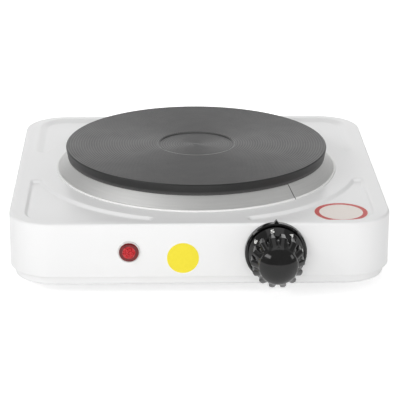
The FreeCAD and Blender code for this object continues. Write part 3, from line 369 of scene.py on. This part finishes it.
def groove_crests(material):
    """A wave about the plate's axis: 1 on the crests of its turned grooves and -1 at their bottoms."""
    tree = material.node_tree
    place = tree.nodes.new("ShaderNodeTexCoord")
    centred = tree.nodes.new("ShaderNodeVectorMath")
    centred.operation = "SUBTRACT"
    centred.inputs[1].default_value = (AXIS.x, AXIS.y, 0)
    flat = tree.nodes.new("ShaderNodeVectorMath")
    flat.operation = "MULTIPLY"
    flat.inputs[1].default_value = (1, 1, 0)
    radius = tree.nodes.new("ShaderNodeVectorMath")
    radius.operation = "LENGTH"
    turns = tree.nodes.new("ShaderNodeMath")
    turns.operation = "MULTIPLY"
    turns.inputs[1].default_value = 2 * math.pi / GROOVE_PITCH
    crests = tree.nodes.new("ShaderNodeMath")
    crests.operation = "COSINE"
    tree.links.new(place.outputs["Object"], centred.inputs[0])
    tree.links.new(centred.outputs["Vector"], flat.inputs[0])
    tree.links.new(flat.outputs["Vector"], radius.inputs[0])
    tree.links.new(radius.outputs["Value"], turns.inputs[0])
    tree.links.new(turns.outputs["Value"], crests.inputs[0])
    return crests.outputs["Value"]


def cast_iron():
    """Turned iron under a dark heat-proof coat. Its colour runs from near black in the groove bottoms to
    paler on the crests: partly wear of the coat, partly painted shade and highlight along the grooves.
    """
    material, shader = new_material("cast_iron_finish")
    shader.inputs["Specular IOR Level"].default_value = 0.65
    crests = groove_crests(material)
    # Painted shade in the groove bottoms and a paler painted crest, following the grooves.
    vary_colour(material, shader, crests, (0.005, 0.005, 0.005), (0.056, 0.055, 0.055), (0, 1))
    vary_roughness(material, shader, noise(material, 90), 0.43, 0.47)
    emboss(material, shader, noise(material, 2600, detail=4), 0.02 * MM, 0.6)
    return material


def polished_steel():
    """Rolled strip with faint streaks round the ring."""
    material, shader = new_material("polished_steel_finish", metallic=1.0)
    streaks = noise(material, 40, (1, 1, 30))
    vary_colour(material, shader, streaks, (0.73, 0.73, 0.72), (0.76, 0.76, 0.75))
    vary_roughness(material, shader, noise(material, 120), 0.5, 0.56)
    emboss(material, shader, streaks, 0.004 * MM, 0.3)
    return material


def black_plastic():
    """Glossy black moulding with slight flow marks."""
    material, shader = new_material("black_plastic_finish")
    shader.inputs["Specular IOR Level"].default_value = 0.4
    vary_colour(material, shader, noise(material, 180), (0.004, 0.004, 0.004), (0.007, 0.007, 0.007))
    vary_roughness(material, shader, noise(material, 350), 0.09, 0.14)
    emboss(material, shader, noise(material, 700, detail=2), 0.004 * MM)
    return material


def clear_moulding(name, dark, light, transmission):
    """Clear or tinted plastic with a mottled depth."""
    material, shader = new_material(f"{name}_finish")
    shader.inputs["IOR"].default_value = 1.49
    shader.inputs["Transmission Weight"].default_value = transmission
    vary_colour(material, shader, noise(material, 900), dark, light)
    vary_roughness(material, shader, noise(material, 900), 0.05, 0.12)
    return material


def black_rubber():
    material, shader = new_material("black_rubber_finish")
    vary_colour(material, shader, noise(material, 300), (0.016, 0.016, 0.016), (0.03, 0.03, 0.03))
    vary_roughness(material, shader, noise(material, 800), 0.65, 0.85)
    emboss(material, shader, noise(material, 2400), 0.03 * MM, 0.5)
    return material


def plated_metal(name, dark, light, smooth, rough):
    """Rolled or plated metal with blotches and fine scratches."""
    material, shader = new_material(f"{name}_finish", metallic=1.0)
    vary_colour(material, shader, noise(material, 260), dark, light)
    vary_roughness(material, shader, noise(material, 500, (1, 6, 1)), smooth, rough)
    emboss(material, shader, noise(material, 1500), 0.01 * MM, 0.4)
    return material


def dull_grain(name, dark, light, grain):
    """A dry, dull surface with an open grain, such as ceramic or pressed powder; it also serves for a
    painted highlight and a painted shadow.
    """
    material, shader = new_material(f"{name}_finish")
    vary_colour(material, shader, noise(material, 350), dark, light)
    vary_roughness(material, shader, noise(material, 900), 0.75, 0.95)
    emboss(material, shader, noise(material, 1800, detail=5), grain)
    return material


def clear_glass():
    material, shader = new_material("clear_glass_finish")
    shader.inputs["Base Color"].default_value = (0.95, 0.96, 0.95, 1)
    shader.inputs["Transmission Weight"].default_value = 1
    vary_roughness(material, shader, noise(material, 600), 0.02, 0.06)
    return material


def holder_plastic():
    material, shader = new_material("holder_plastic_finish")
    vary_colour(material, shader, noise(material, 200), (0.68, 0.64, 0.56), (0.76, 0.72, 0.64))
    vary_roughness(material, shader, noise(material, 500), 0.42, 0.58)
    emboss(material, shader, noise(material, 1600), 0.01 * MM, 0.4)
    return material


def woven_sleeve(name, dark, light):
    """Glass-fibre sleeving: a fine braid over the lead."""
    material, shader = new_material(f"{name}_finish")
    braid = noise(material, 1500, (1, 1, 2.5), detail=1)
    vary_colour(material, shader, braid, dark, light)
    vary_roughness(material, shader, braid, 0.7, 0.9)
    emboss(material, shader, braid, 0.06 * MM)
    return material


def satin(name, dark, light):
    """An even satin colour, such as printing ink, or a pale band painted as a highlight."""
    material, shader = new_material(f"{name}_finish")
    vary_colour(material, shader, noise(material, 900), dark, light)
    vary_roughness(material, shader, noise(material, 700), 0.38, 0.52)
    emboss(material, shader, noise(material, 2500), 0.004 * MM, 0.4)
    return material


finishes = {
    "white_enamel": white_enamel(),
    "cast_iron": cast_iron(),
    "polished_steel": polished_steel(),
    "black_plastic": black_plastic(),
    "red_lens": clear_moulding("red_lens", (0.4, 0.006, 0.01), (0.75, 0.045, 0.055), 0.15),
    "black_rubber": black_rubber(),
    "zinc_steel": plated_metal("zinc_steel", (0.42, 0.43, 0.45), (0.58, 0.59, 0.6), 0.3, 0.45),
    "heater_alloy": plated_metal("heater_alloy", (0.07, 0.06, 0.055), (0.14, 0.12, 0.1), 0.5, 0.7),
    "packed_insulation": dull_grain(
        "packed_insulation", (0.6, 0.58, 0.53), (0.74, 0.71, 0.66), 0.08 * MM),
    "white_ceramic": dull_grain("white_ceramic", (0.74, 0.72, 0.68), (0.82, 0.8, 0.76), 0.02 * MM),
    "brass": plated_metal("brass", (0.62, 0.42, 0.16), (0.78, 0.56, 0.25), 0.22, 0.38),
    "clear_glass": clear_glass(),
    "holder_plastic": holder_plastic(),
    "brown_sleeve": woven_sleeve("brown_sleeve", (0.13, 0.06, 0.03), (0.22, 0.11, 0.06)),
    "blue_sleeve": woven_sleeve("blue_sleeve", (0.03, 0.09, 0.25), (0.06, 0.16, 0.38)),
    "green_sleeve": woven_sleeve("green_sleeve", (0.12, 0.3, 0.05), (0.42, 0.5, 0.06)),
}
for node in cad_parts.values():
    for index, carried in enumerate(node.data.materials):
        node.data.materials[index] = finishes[carried.name]


# Housing


def plan_points():
    """Points round the housing's plan at even steps, each with its outward direction."""
    points = []
    runs = (2 * (HALF_DEPTH - CORNER), 2 * (HALF_WIDTH - CORNER))
    for turn, (sign_x, sign_y) in enumerate(((1, -1), (1, 1), (-1, 1), (-1, -1))):
        centre = AXIS + Vector((sign_x * (HALF_WIDTH - CORNER), sign_y * (HALF_DEPTH - CORNER)))
        start = math.radians(90 * (turn - 1))
        count = round(CORNER * math.pi / 2 / PLAN_STEP)
        for step in range(count):
            angle = start + math.pi / 2 * step / count
            outward = Vector((math.cos(angle), math.sin(angle)))
            points.append((centre + outward * CORNER, outward))
        outward = Vector((math.cos(start + math.pi / 2), math.sin(start + math.pi / 2)))
        along = Vector((-outward.y, outward.x)) * runs[turn % 2]
        count = round(runs[turn % 2] / PLAN_STEP)
        points += [(centre + outward * CORNER + along * (step / count), outward) for step in range(count)]
    return points


def deck_level(x, y):
    """The deck's height, with its four corner pressings."""
    across, along = abs(x - AXIS.x), abs(y - AXIS.y)
    past_side = across - (HALF_WIDTH - PRESSING_SIDE_LAND - PRESSING_CORNER)
    past_front = along - (HALF_DEPTH - PRESSING_FRONT_LAND - PRESSING_CORNER)
    past_corner = math.hypot(max(past_side, 0), max(past_front, 0)) + min(max(past_side, past_front), 0)
    wall = PRESSING_FRONT_WALL if y < AXIS.y else PRESSING_REAR_WALL
    pressed = (
        ramp(math.hypot(across, along) - PRESSING_ARC, PRESSING_SLOPE)
        * ramp(PRESSING_CORNER - past_corner, wall)
        * ramp(across - PRESSING_END, PRESSING_END_SLOPE)
        * ramp(along - PRESSING_END, PRESSING_END_SLOPE)
    )
    return DECK_TOP - PRESSING_DEPTH * pressed


def housing_shape():
    """The pressed housing: deck with its hole, fold, walls and rolled skirt, and the deck's underside."""
    points = plan_points()

    def level_loop(inset, height):
        return [(*(point - outward * inset), height) for point, outward in points]

    def hole_loop(radius, height):
        return [(*(AXIS + (point - AXIS).normalized() * radius), height) for point, _ in points]

    def pressed_loop(places):
        return [(*place, deck_level(*place)) for place in places]

    loops = [hole_loop(DECK_HOLE, DECK_TOP)]
    margin = [point - outward * DECK_MARGIN for point, outward in points]
    inner = [AXIS + (place - AXIS).normalized() * (RING_RADIUS - RING_LIP) for place in margin]
    for step in range(DECK_STEPS):
        loops.append(pressed_loop(near.lerp(far, step / DECK_STEPS) for near, far in zip(inner, margin)))
    for step in range(MARGIN_STEPS):
        inset = DECK_MARGIN + (EDGE_ROUND - DECK_MARGIN) * step / MARGIN_STEPS
        loops.append(pressed_loop(point - outward * inset for point, outward in points))
    for inset, height in quarter_round(-EDGE_ROUND, DECK_TOP - EDGE_ROUND, EDGE_ROUND, ROUND_STEPS):
        loops.append(level_loop(-inset, height))
    for inset, lift in SKIRT_ROLL:
        loops.append(level_loop(inset * WALL / 2, SKIRT_END + lift * WALL / 2))
    loops.append(level_loop(WALL, DECK_TOP - DECK_BUILD - EDGE_ROUND))
    loops.append(level_loop(WALL + EDGE_ROUND, DECK_TOP - DECK_BUILD))
    loops.append(hole_loop(DECK_HOLE, DECK_TOP - DECK_BUILD))
    return smoothed(skin(loops, closed=True))


# Plate and ring


def plate_shape():
    """The cast plate, with turned grooves over its top and in its shallow middle recess."""
    floor = PLATE_TOP - RECESS_DEPTH

    def grooved(start, end, level):
        step = GROOVE_PITCH / GROOVE_POINTS
        points = []
        for count in range(math.ceil(start / step), math.ceil(end / step)):
            depth = GROOVE_DEPTH * (0.5 - 0.5 * math.cos(2 * math.pi * count / GROOVE_POINTS))
            points.append((count * step, level - depth))
        return points

    profile = [(0, floor)]
    profile += grooved(GROOVE_PITCH, RECESS_RADIUS, floor)
    profile += grooved(RECESS_EDGE, PLATE_RADIUS - RIM_ROUND, PLATE_TOP)
    profile += quarter_round(PLATE_RADIUS - RIM_ROUND, PLATE_TOP - RIM_ROUND, RIM_ROUND, ROUND_STEPS)
    profile += [
        (PLATE_FOOT_RADIUS, PLATE_SEAT), (PLATE_BODY_RADIUS, PLATE_SEAT),
        (PLATE_BODY_RADIUS, PLATE_UNDER), (0, PLATE_UNDER),
    ]
    return smoothed(skin(turned(profile, TURNED_SIDES)))


def ring_shape():
    """The flared ring, bent from strip whose end laps over its start."""
    foot = RING_RADIUS - RING_LIP
    lip_top = DECK_TOP + RING_LIP_HEIGHT
    section = [(RING_HOLE, PLATE_SEAT - RING_METAL), (RING_HOLE, PLATE_SEAT)]
    bend = quarter_round(RING_TOP - RING_BEND, PLATE_SEAT - RING_BEND, RING_BEND, RING_BEND_STEPS)
    section += bend[:-1]
    section += [(foot, lip_top)]
    section += quarter_round(
        RING_RADIUS - RING_LIP_ROUND, lip_top - RING_LIP_ROUND, RING_LIP_ROUND, RING_LIP_STEPS)
    section += [(RING_RADIUS, DECK_TOP), (foot - RING_METAL, DECK_TOP)]
    section += [(RING_TOP - RING_METAL, PLATE_SEAT - RING_METAL)]
    start = math.radians(SEAM_ANGLE - 90)
    stations = []
    turns = [360 * side / TURNED_SIDES for side in range(TURNED_SIDES)]
    for turn in turns + [360 - SEAM_GAP_ANGLE, 360]:
        lap = SEAM_LAP * ramp(turn - (360 - SEAM_LAP_ANGLE - SEAM_RISE_ANGLE), SEAM_RISE_ANGLE)
        angle = start + math.radians(turn)
        station = []
        for radius, height in section:
            out = lap if RING_TOP - RING_METAL <= radius <= foot else 0
            station.append((*around_axis(radius + out, angle), height))
        stations.append(station)
    return smoothed(skin(stations, closed=True))


def in_seam(place):
    """Whether a place on the ring lies in the narrow gap at its lapped end."""
    turn = math.degrees(math.atan2(place.y - AXIS.y, place.x - AXIS.x)) - (SEAM_ANGLE - 90)
    return -SEAM_GAP_ANGLE < turn < 0 and distance_from(place.xy, AXIS) > RING_TOP - RING_BEND


# Knob and its numbers


def on_knob(radius, angle, depth):
    """A point about the knob's axis, with its angle clockwise from the top, from sizes in millimetres."""
    return Vector((KNOB.x + radius * MM * math.sin(angle), FRONT - depth * MM,
                   KNOB.z + radius * MM * math.cos(angle)))


def knob_core(depth):
    """The knob's radius between its lobes."""
    for (near, start), (far, end) in zip(KNOB_PROFILE, KNOB_PROFILE[1:]):
        if depth <= end:
            return near + (far - near) * max(depth - start, 0) / (end - start)
    rise = KNOB_REACH - KNOB_PROFILE[-1][1]
    foot = KNOB_PROFILE[-1][0]
    dome = (foot ** 2 + rise ** 2) / (2 * rise)
    return math.sqrt(max(dome ** 2 - (dome - KNOB_REACH + depth) ** 2, 0))


def knob_radius(depth, angle):
    """The core and the nearest lobe, blended."""
    nearby = (knob_core(depth + shift) for shift in (-KNOB_SOFTENING, 0, KNOB_SOFTENING))
    core = sum(nearby) / 3 if depth < KNOB_PROFILE[-1][1] else knob_core(depth)
    spacing = 2 * math.pi / LOBE_COUNT
    off = (angle - math.pi / 2 + spacing / 2) % spacing - spacing / 2
    begun = min(max((depth - LOBE_START) / LOBE_START_ROUND, 0), 1)
    size = LOBE_RADIUS * math.sqrt(1 - (1 - begun) ** 2)
    leaning = depth > LOBE_BEND
    centre = LOBE_AXIS - max(depth - LOBE_BEND, 0) * math.tan(LOBE_LEAN)
    aside = abs(centre * math.sin(off))
    if aside >= size or depth > KNOB_PROFILE[-1][1]:
        return core
    crown = size * (1 - (aside / size) ** LOBE_SQUARENESS) ** (1 / LOBE_SQUARENESS)
    lobe = centre * math.cos(off) + crown / (math.cos(LOBE_LEAN) if leaning else 1)
    mixing = max(LOBE_BLEND - abs(core - lobe), 0) / LOBE_BLEND
    return max(core, lobe) + mixing ** 2 * LOBE_BLEND / 4


def knob_shape():
    """The dial skirt, the lobed grip and its dome, as loops about the knob's axis."""
    back, dome_start = KNOB_PROFILE[0][1], KNOB_PROFILE[-1][1]
    count = round((dome_start - back) / KNOB_STEP)
    depths = [back + (dome_start - back) * step / count for step in range(count)]
    rise = KNOB_REACH - dome_start
    depths += [dome_start + rise * math.sin(math.pi / 2 * step / DOME_STEPS) for step in range(DOME_STEPS)]
    sides = LOBE_COUNT * LOBE_POINTS
    angles = [2 * math.pi * side / sides for side in range(sides)]
    loops = [[on_knob(0, 0, back)]]
    loops += [[on_knob(knob_radius(depth, angle), angle, depth) for angle in angles] for depth in depths]
    loops.append([on_knob(0, 0, KNOB_REACH)])
    return smoothed(skin(loops), KNOB_SHARP_ANGLE)


def figure_shape(text):
    """A thin solid of a figure in the font's own units."""
    curve = bpy.data.curves.new("number", "FONT")
    curve.body = text
    curve.extrude = FONT_THICKNESS
    curve.offset = FONT_WEIGHT
    holder = bpy.data.objects.new("number", curve)
    bpy.context.scene.collection.objects.link(holder)
    mesh = evaluated_mesh(holder)
    bpy.data.objects.remove(holder)
    shape = bmesh.new()
    shape.from_mesh(mesh)
    bpy.data.meshes.remove(mesh)
    return shape


def number_shape(text, angle):
    """A printed number laid on the dial's slope, with its foot towards the grip."""
    shape = figure_shape(text)
    low = Vector(min(vert.co[axis] for vert in shape.verts) for axis in range(3))
    high = Vector(max(vert.co[axis] for vert in shape.verts) for axis in range(3))
    scale = NUMBER_HEIGHT / (high.y - low.y)
    slices = math.ceil((high.x - low.x) * scale * NUMBER_STRETCH / NUMBER_SLICE)
    for count in range(1, slices):
        cut = low.lerp(high, count / slices)
        everything = shape.verts[:] + shape.edges[:] + shape.faces[:]
        bmesh.ops.bisect_plane(shape, geom=everything, plane_co=cut, plane_no=(1, 0, 0))
    rim, foot = [Vector(corner) for corner in KNOB_PROFILE[1:3]]
    middle = rim.lerp(foot, NUMBER_PLACE)
    uphill = (rim - foot).normalized()
    outward = Vector((-uphill.y, uphill.x))
    for vert in shape.verts:
        across, up, _ = (vert.co - (low + high) / 2) * scale
        across *= NUMBER_STRETCH
        lift = NUMBER_INK if vert.co.z > (low.z + high.z) / 2 else -NUMBER_INK
        place = middle + uphill * up + outward * lift
        vert.co = on_knob(place.x, angle + across / place.x, place.y)
    bmesh.ops.recalc_face_normals(shape, faces=shape.faces[:])
    return shape


# Lamp


def on_lamp(across, up, depth):
    return Vector((LENS.x + across, FRONT - depth, LENS.z + up))


def add_facets(shape, angles, face):
    """Fills the lens's slightly domed face, inside its rim, with small six-sided pyramids."""
    dome = (LENS_FACE_RADIUS ** 2 + LENS_FACE_RISE ** 2) / (2 * LENS_FACE_RISE)
    points = [
        Vector((LENS_FACE_RADIUS * math.sin(angle), LENS_FACE_RADIUS * math.cos(angle))) for angle in angles
    ]
    depths = [face] * len(points)
    reach = math.ceil(2 * LENS_FACE_RADIUS / LENS_PYRAMID)
    for row in range(-reach, reach + 1):
        for column in range(-reach, reach + 1):
            place = Vector((column + row / 2, row * math.sqrt(3) / 2)) * (LENS_PYRAMID / math.sqrt(3))
            if place.length < LENS_FACE_RADIUS - LENS_FACET_MARGIN:
                rise = math.sqrt(dome ** 2 - place.length_squared) - dome + LENS_FACE_RISE
                raised = LENS_PYRAMID_HEIGHT if (column - row) % 3 == 0 else 0
                points.append(place)
                depths.append(face + rise + raised)
    flat_points, _, triangles, sources, *_ = delaunay_2d_cdt(points, [], [], 0, MM * MM)
    corners = [
        shape.verts.new(on_lamp(*place, depths[source[0]])) for place, source in zip(flat_points, sources)
    ]
    for triangle in triangles:
        shape.faces.new([corners[index] for index in triangle])
    bmesh.ops.remove_doubles(shape, verts=shape.verts[:], dist=MM * MM)


def lens_shape():
    """A hollow barrel with a flange and a rounded cap whose face is cut into facets."""
    angles = [2 * math.pi * side / LENS_SIDES for side in range(LENS_SIDES)]
    face = LENS_HEIGHT - LENS_FACE_RISE - LENS_PYRAMID_HEIGHT
    bore_end = LENS_FLANGE - LENS_FRONT_WALL

    def ring(radius, depth):
        return [on_lamp(radius * math.sin(angle), radius * math.cos(angle), depth) for angle in angles]

    loops = [
        [on_lamp(0, 0, bore_end)], ring(LENS_BORE, bore_end), ring(LENS_BORE, -LENS_DEPTH),
        ring(LENS_BARREL, -LENS_DEPTH), ring(LENS_BARREL, 0),
        ring(LENS_FLANGE_RADIUS, 0), ring(LENS_FLANGE_RADIUS, LENS_FLANGE - LENS_FLANGE_BEVEL),
        ring(LENS_FLANGE_RADIUS - LENS_FLANGE_BEVEL, LENS_FLANGE), ring(LENS_CAP_RADIUS, LENS_FLANGE),
    ]
    for step in range(1, ROUND_STEPS + 1):
        lean = math.pi / 2 * step / ROUND_STEPS
        radius = LENS_FACE_RADIUS + (LENS_CAP_RADIUS - LENS_FACE_RADIUS) * math.cos(lean)
        loops.append(ring(radius, LENS_FLANGE + (face - LENS_FLANGE) * math.sin(lean)))
    shape = smoothed(skin(loops))
    add_facets(shape, angles, face)
    bmesh.ops.recalc_face_normals(shape, faces=shape.faces[:])
    return shape


# Stickers


def sticker_shape(reach, bounds, place_at):
    """A thin disc laid where place_at says, with a ring of edges at each bound between colours."""
    steps = math.ceil(reach / STICKER_STEP)
    radii = sorted({*(reach * step / steps for step in range(1, steps + 1)), *bounds})
    angles = [2 * math.pi * side / STICKER_SIDES for side in range(STICKER_SIDES)]

    def ring(radius, height):
        return [place_at(radius * math.cos(angle), radius * math.sin(angle), height) for angle in angles]

    loops = [[place_at(0, 0, 0)]]
    loops += [ring(radius, 0) for radius in radii]
    loops += [ring(radius, STICKER_HEIGHT) for radius in reversed(radii)]
    loops.append([place_at(0, 0, STICKER_HEIGHT)])
    return smoothed(skin(loops))


def on_deck(across, along, height):
    x, y = ROUND_STICKER[0] + across, ROUND_STICKER[1] + along
    return Vector((x, y, deck_level(x, y) + height))


def on_front(across, up, height):
    return Vector((FRONT_STICKER[0] + across, FRONT - height, FRONT_STICKER[1] + up))


# Pieces


def drill(thing, x, z, radius, y):
    """A round hole through an upright wall of the housing."""
    cutter = bmesh.new()
    bmesh.ops.create_cone(
        cutter, cap_ends=True, segments=HOLE_SIDES, radius1=radius, radius2=radius, depth=HOLE_DEPTH)
    for vert in cutter.verts:
        vert.co = Vector((x + vert.co.x, y + vert.co.z, z + vert.co.y))
    mesh = bpy.data.meshes.new("drill")
    bmesh.ops.recalc_face_normals(cutter, faces=cutter.faces[:])
    cutter.to_mesh(mesh)
    cutter.free()
    tool = bpy.data.objects.new("drill", mesh)
    bpy.context.scene.collection.objects.link(tool)
    hole = thing.modifiers.new("hole", "BOOLEAN")
    hole.operation = "DIFFERENCE"
    hole.object = tool
    cut = evaluated_mesh(thing)
    thing.modifiers.remove(hole)
    thing.data = cut
    bpy.data.objects.remove(tool)


housing = piece(
    "housing", housing_shape(), finishes["white_enamel"], "cooker", "top_housing")
drill(housing, GLAND.x, GLAND.z, GLAND_NECK, REAR)

cooking_plate = piece(
    "cooking_plate", plate_shape(), finishes["cast_iron"], "cooker", "hot_plate")
# A pale ring painted on the land round the recess's rim stands in for the highlight its edge catches.
recess_rim_highlight = dull_grain("recess_rim_highlight", (0.22, 0.22, 0.22), (0.28, 0.28, 0.28), 0.02 * MM)
paint(cooking_plate, recess_rim_highlight,
      lambda middle: RECESS_EDGE < distance_from(middle.xy, AXIS) < RECESS_EDGE + RECESS_HIGHLIGHT_WIDTH)

flared_ring = piece(
    "flared_ring", ring_shape(), finishes["polished_steel"], "cooker", "trim_ring")
# The ring's rounded lip is painted pale as a highlight.
ring_lip_highlight = satin("ring_lip_highlight", (0.8, 0.8, 0.79), (0.84, 0.84, 0.83))
seam_shadow = dull_grain("seam_shadow", (0.1, 0.1, 0.1), (0.14, 0.14, 0.13), 0.01 * MM)
paint(flared_ring, ring_lip_highlight,
      lambda middle: distance_from(middle.xy, AXIS) > RING_RADIUS - RING_LIP_ROUND)
paint(flared_ring, seam_shadow, in_seam)

piece("control_knob", knob_shape(), finishes["black_plastic"], "dial", "knob")

pilot_lens = piece("pilot_lens", lens_shape(), finishes["red_lens"], "cooker", "lamp_lens")
# The cap's rounded side is painted dark red as shade.
lens_side_shade = clear_moulding("lens_side_shade", (0.11, 0.001, 0.002), (0.18, 0.002, 0.004), 0.1)
# The clear flange is painted pale, partly for its plastic and partly as a highlight.
lens_flange = clear_moulding("lens_flange", (0.84, 0.79, 0.78), (0.88, 0.84, 0.83), 0.3)
paint(pilot_lens, lens_side_shade, lambda middle: distance_from(middle.xz, LENS.xz) > LENS_FACE_RADIUS)
paint(pilot_lens, lens_flange, lambda middle: FRONT - middle.y < LENS_FLANGE + LENS_FLANGE_BLEND)

dial_ink = satin("dial_ink", (0.78, 0.78, 0.76), (0.86, 0.86, 0.84))
for count in range(NUMBER_COUNT):
    number_angle = math.radians(FIRST_NUMBER_ANGLE - NUMBER_SPACING * count)
    piece(f"dial_number_{count}", number_shape(str(count), number_angle), dial_ink, "dial")

sticker_cream = satin("sticker_cream", (0.83, 0.76, 0.71), (0.85, 0.78, 0.73))
sticker_red = satin("sticker_red", (0.54, 0.05, 0.045), (0.58, 0.06, 0.05))
round_sticker = piece(
    "round_sticker", sticker_shape(ROUND_STICKER_RADIUS, ROUND_STICKER_BAND, on_deck), sticker_cream,
    "cooker")
band_start, band_end = ROUND_STICKER_BAND
paint(round_sticker, sticker_red,
      lambda middle: band_start < distance_from(middle.xy, ROUND_STICKER) < band_end)

sticker_yellow = satin("sticker_yellow", (0.81, 0.68, 0.025), (0.83, 0.7, 0.03))
white_border = satin("white_border", (0.8, 0.8, 0.79), (0.83, 0.83, 0.82))
front_sticker = piece(
    "front_sticker", sticker_shape(FRONT_STICKER_RADIUS, (FRONT_STICKER_BORDER,), on_front), sticker_yellow,
    "cooker")
paint(front_sticker, white_border,
      lambda middle: distance_from(middle.xz, FRONT_STICKER) > FRONT_STICKER_BORDER)


# Stage, light and camera

BACKGROUND_RAYS = ("Is Camera Ray", "Is Glossy Ray", "Is Transmission Ray")
WORLD_STRENGTH = 0.38
FLOOR_SIZE = 8
FLOOR_COLOUR = (0.9, 0.9, 0.9)
FLOOR_LIFT = 0.56


def background_share(tree):
    """1 for rays that see the background itself, and 0 for rays that gather light."""
    path = tree.nodes.new("ShaderNodeLightPath")
    share = path.outputs[BACKGROUND_RAYS[0]]
    for kind in BACKGROUND_RAYS[1:]:
        either = tree.nodes.new("ShaderNodeMath")
        either.operation = "MAXIMUM"
        tree.links.new(share, either.inputs[0])
        tree.links.new(path.outputs[kind], either.inputs[1])
        share = either.outputs["Value"]
    return share


def make_world():
    world = bpy.data.worlds.new("studio")
    bpy.context.scene.world = world
    world.use_nodes = True
    shade = world.node_tree.nodes["Background"]
    shade.inputs["Color"].default_value = (1, 1, 1, 1)
    shade.inputs["Strength"].default_value = WORLD_STRENGTH


def make_floor():
    """A pale floor that is lifted to white where no shadow falls on it."""
    shape = bmesh.new()
    bmesh.ops.create_grid(shape, x_segments=1, y_segments=1, size=FLOOR_SIZE)
    mesh = bpy.data.meshes.new("floor")
    shape.to_mesh(mesh)
    shape.free()
    floor = bpy.data.objects.new("floor", mesh)
    bpy.context.scene.collection.objects.link(floor)
    material = bpy.data.materials.new("pale_floor")
    material.use_nodes = True
    tree = material.node_tree
    tree.nodes.clear()
    matt = tree.nodes.new("ShaderNodeBsdfDiffuse")
    matt.inputs["Color"].default_value = (*FLOOR_COLOUR, 1)
    glow = tree.nodes.new("ShaderNodeEmission")
    strength = tree.nodes.new("ShaderNodeMath")
    strength.operation = "MULTIPLY"
    strength.inputs[1].default_value = FLOOR_LIFT
    both = tree.nodes.new("ShaderNodeAddShader")
    output = tree.nodes.new("ShaderNodeOutputMaterial")
    tree.links.new(background_share(tree), strength.inputs[0])
    tree.links.new(strength.outputs["Value"], glow.inputs["Strength"])
    tree.links.new(matt.outputs["BSDF"], both.inputs[0])
    tree.links.new(glow.outputs["Emission"], both.inputs[1])
    tree.links.new(both.outputs["Shader"], output.inputs["Surface"])
    mesh.materials.append(material)


def direction(azimuth, elevation):
    """From the object towards a place, with azimuth to the right of the front."""
    turn, rise = math.radians(azimuth), math.radians(elevation)
    return Vector((math.sin(turn) * math.cos(rise), -math.cos(turn) * math.cos(rise), math.sin(rise)))


def make_softbox(name, azimuth, elevation, distance, width, height, level):
    """An area light that lights a face turned to it as a plain sky of that level does."""
    lamp = bpy.data.lights.new(name, "AREA")
    lamp.shape = "RECTANGLE"
    lamp.size = width
    lamp.size_y = height
    lamp.energy = level * math.pi ** 2 * distance ** 2
    box = bpy.data.objects.new(name, lamp)
    bpy.context.scene.collection.objects.link(box)
    away = direction(azimuth, elevation)
    box.location = (cad_low + cad_high) / 2 + away * distance
    box.rotation_euler = away.to_track_quat("Z", "Y").to_euler()
    return box


make_world()
make_floor()
front_fill = make_softbox(
    "front_fill", azimuth=-4, elevation=10, distance=2.0, width=1.6, height=1.0, level=0.58)
front_fill.visible_glossy = False
make_softbox("left_softbox", azimuth=-58, elevation=32, distance=1.4, width=0.9, height=0.3, level=0.21)
make_softbox("right_softbox", azimuth=72, elevation=20, distance=1.4, width=0.3, height=0.35, level=0.05)
make_softbox("top_softbox", azimuth=180, elevation=82, distance=1.6, width=1.6, height=1.4, level=0.21)
make_softbox("back_softbox", azimuth=-178, elevation=18, distance=0.8, width=1.0, height=0.35, level=0.22)

TARGET = Vector((2.39 * MM, 13 * MM, 20.17 * MM))
CAMERA_DISTANCE = 1.0757
CAMERA_YAW = math.radians(1.657)
CAMERA_PITCH = math.radians(19.459)
CAMERA_ROLL = math.radians(0.213)
FOCAL_LENGTH = 160.36
SENSOR_WIDTH = 36


def make_camera():
    """A long lens that looks down at the front, with the photograph's slight turn and roll."""
    forward = Vector((
        math.sin(CAMERA_YAW) * math.cos(CAMERA_PITCH), math.cos(CAMERA_YAW) * math.cos(CAMERA_PITCH),
        -math.sin(CAMERA_PITCH)))
    level_right = Vector((math.cos(CAMERA_YAW), -math.sin(CAMERA_YAW), 0))
    right = level_right * math.cos(CAMERA_ROLL) + level_right.cross(forward) * math.sin(CAMERA_ROLL)
    camera = bpy.data.objects.new("camera", bpy.data.cameras.new("camera"))
    bpy.context.scene.collection.objects.link(camera)
    camera.data.sensor_width = SENSOR_WIDTH
    camera.data.lens = FOCAL_LENGTH
    place = TARGET - forward * CAMERA_DISTANCE
    axes = (right, right.cross(forward), -forward)
    camera.matrix_world = Matrix([(*axis, 0) for axis in axes] + [(*place, 1)]).transposed()
    bpy.context.scene.camera = camera


make_camera()
bpy.context.scene.view_settings.view_transform = "Standard"
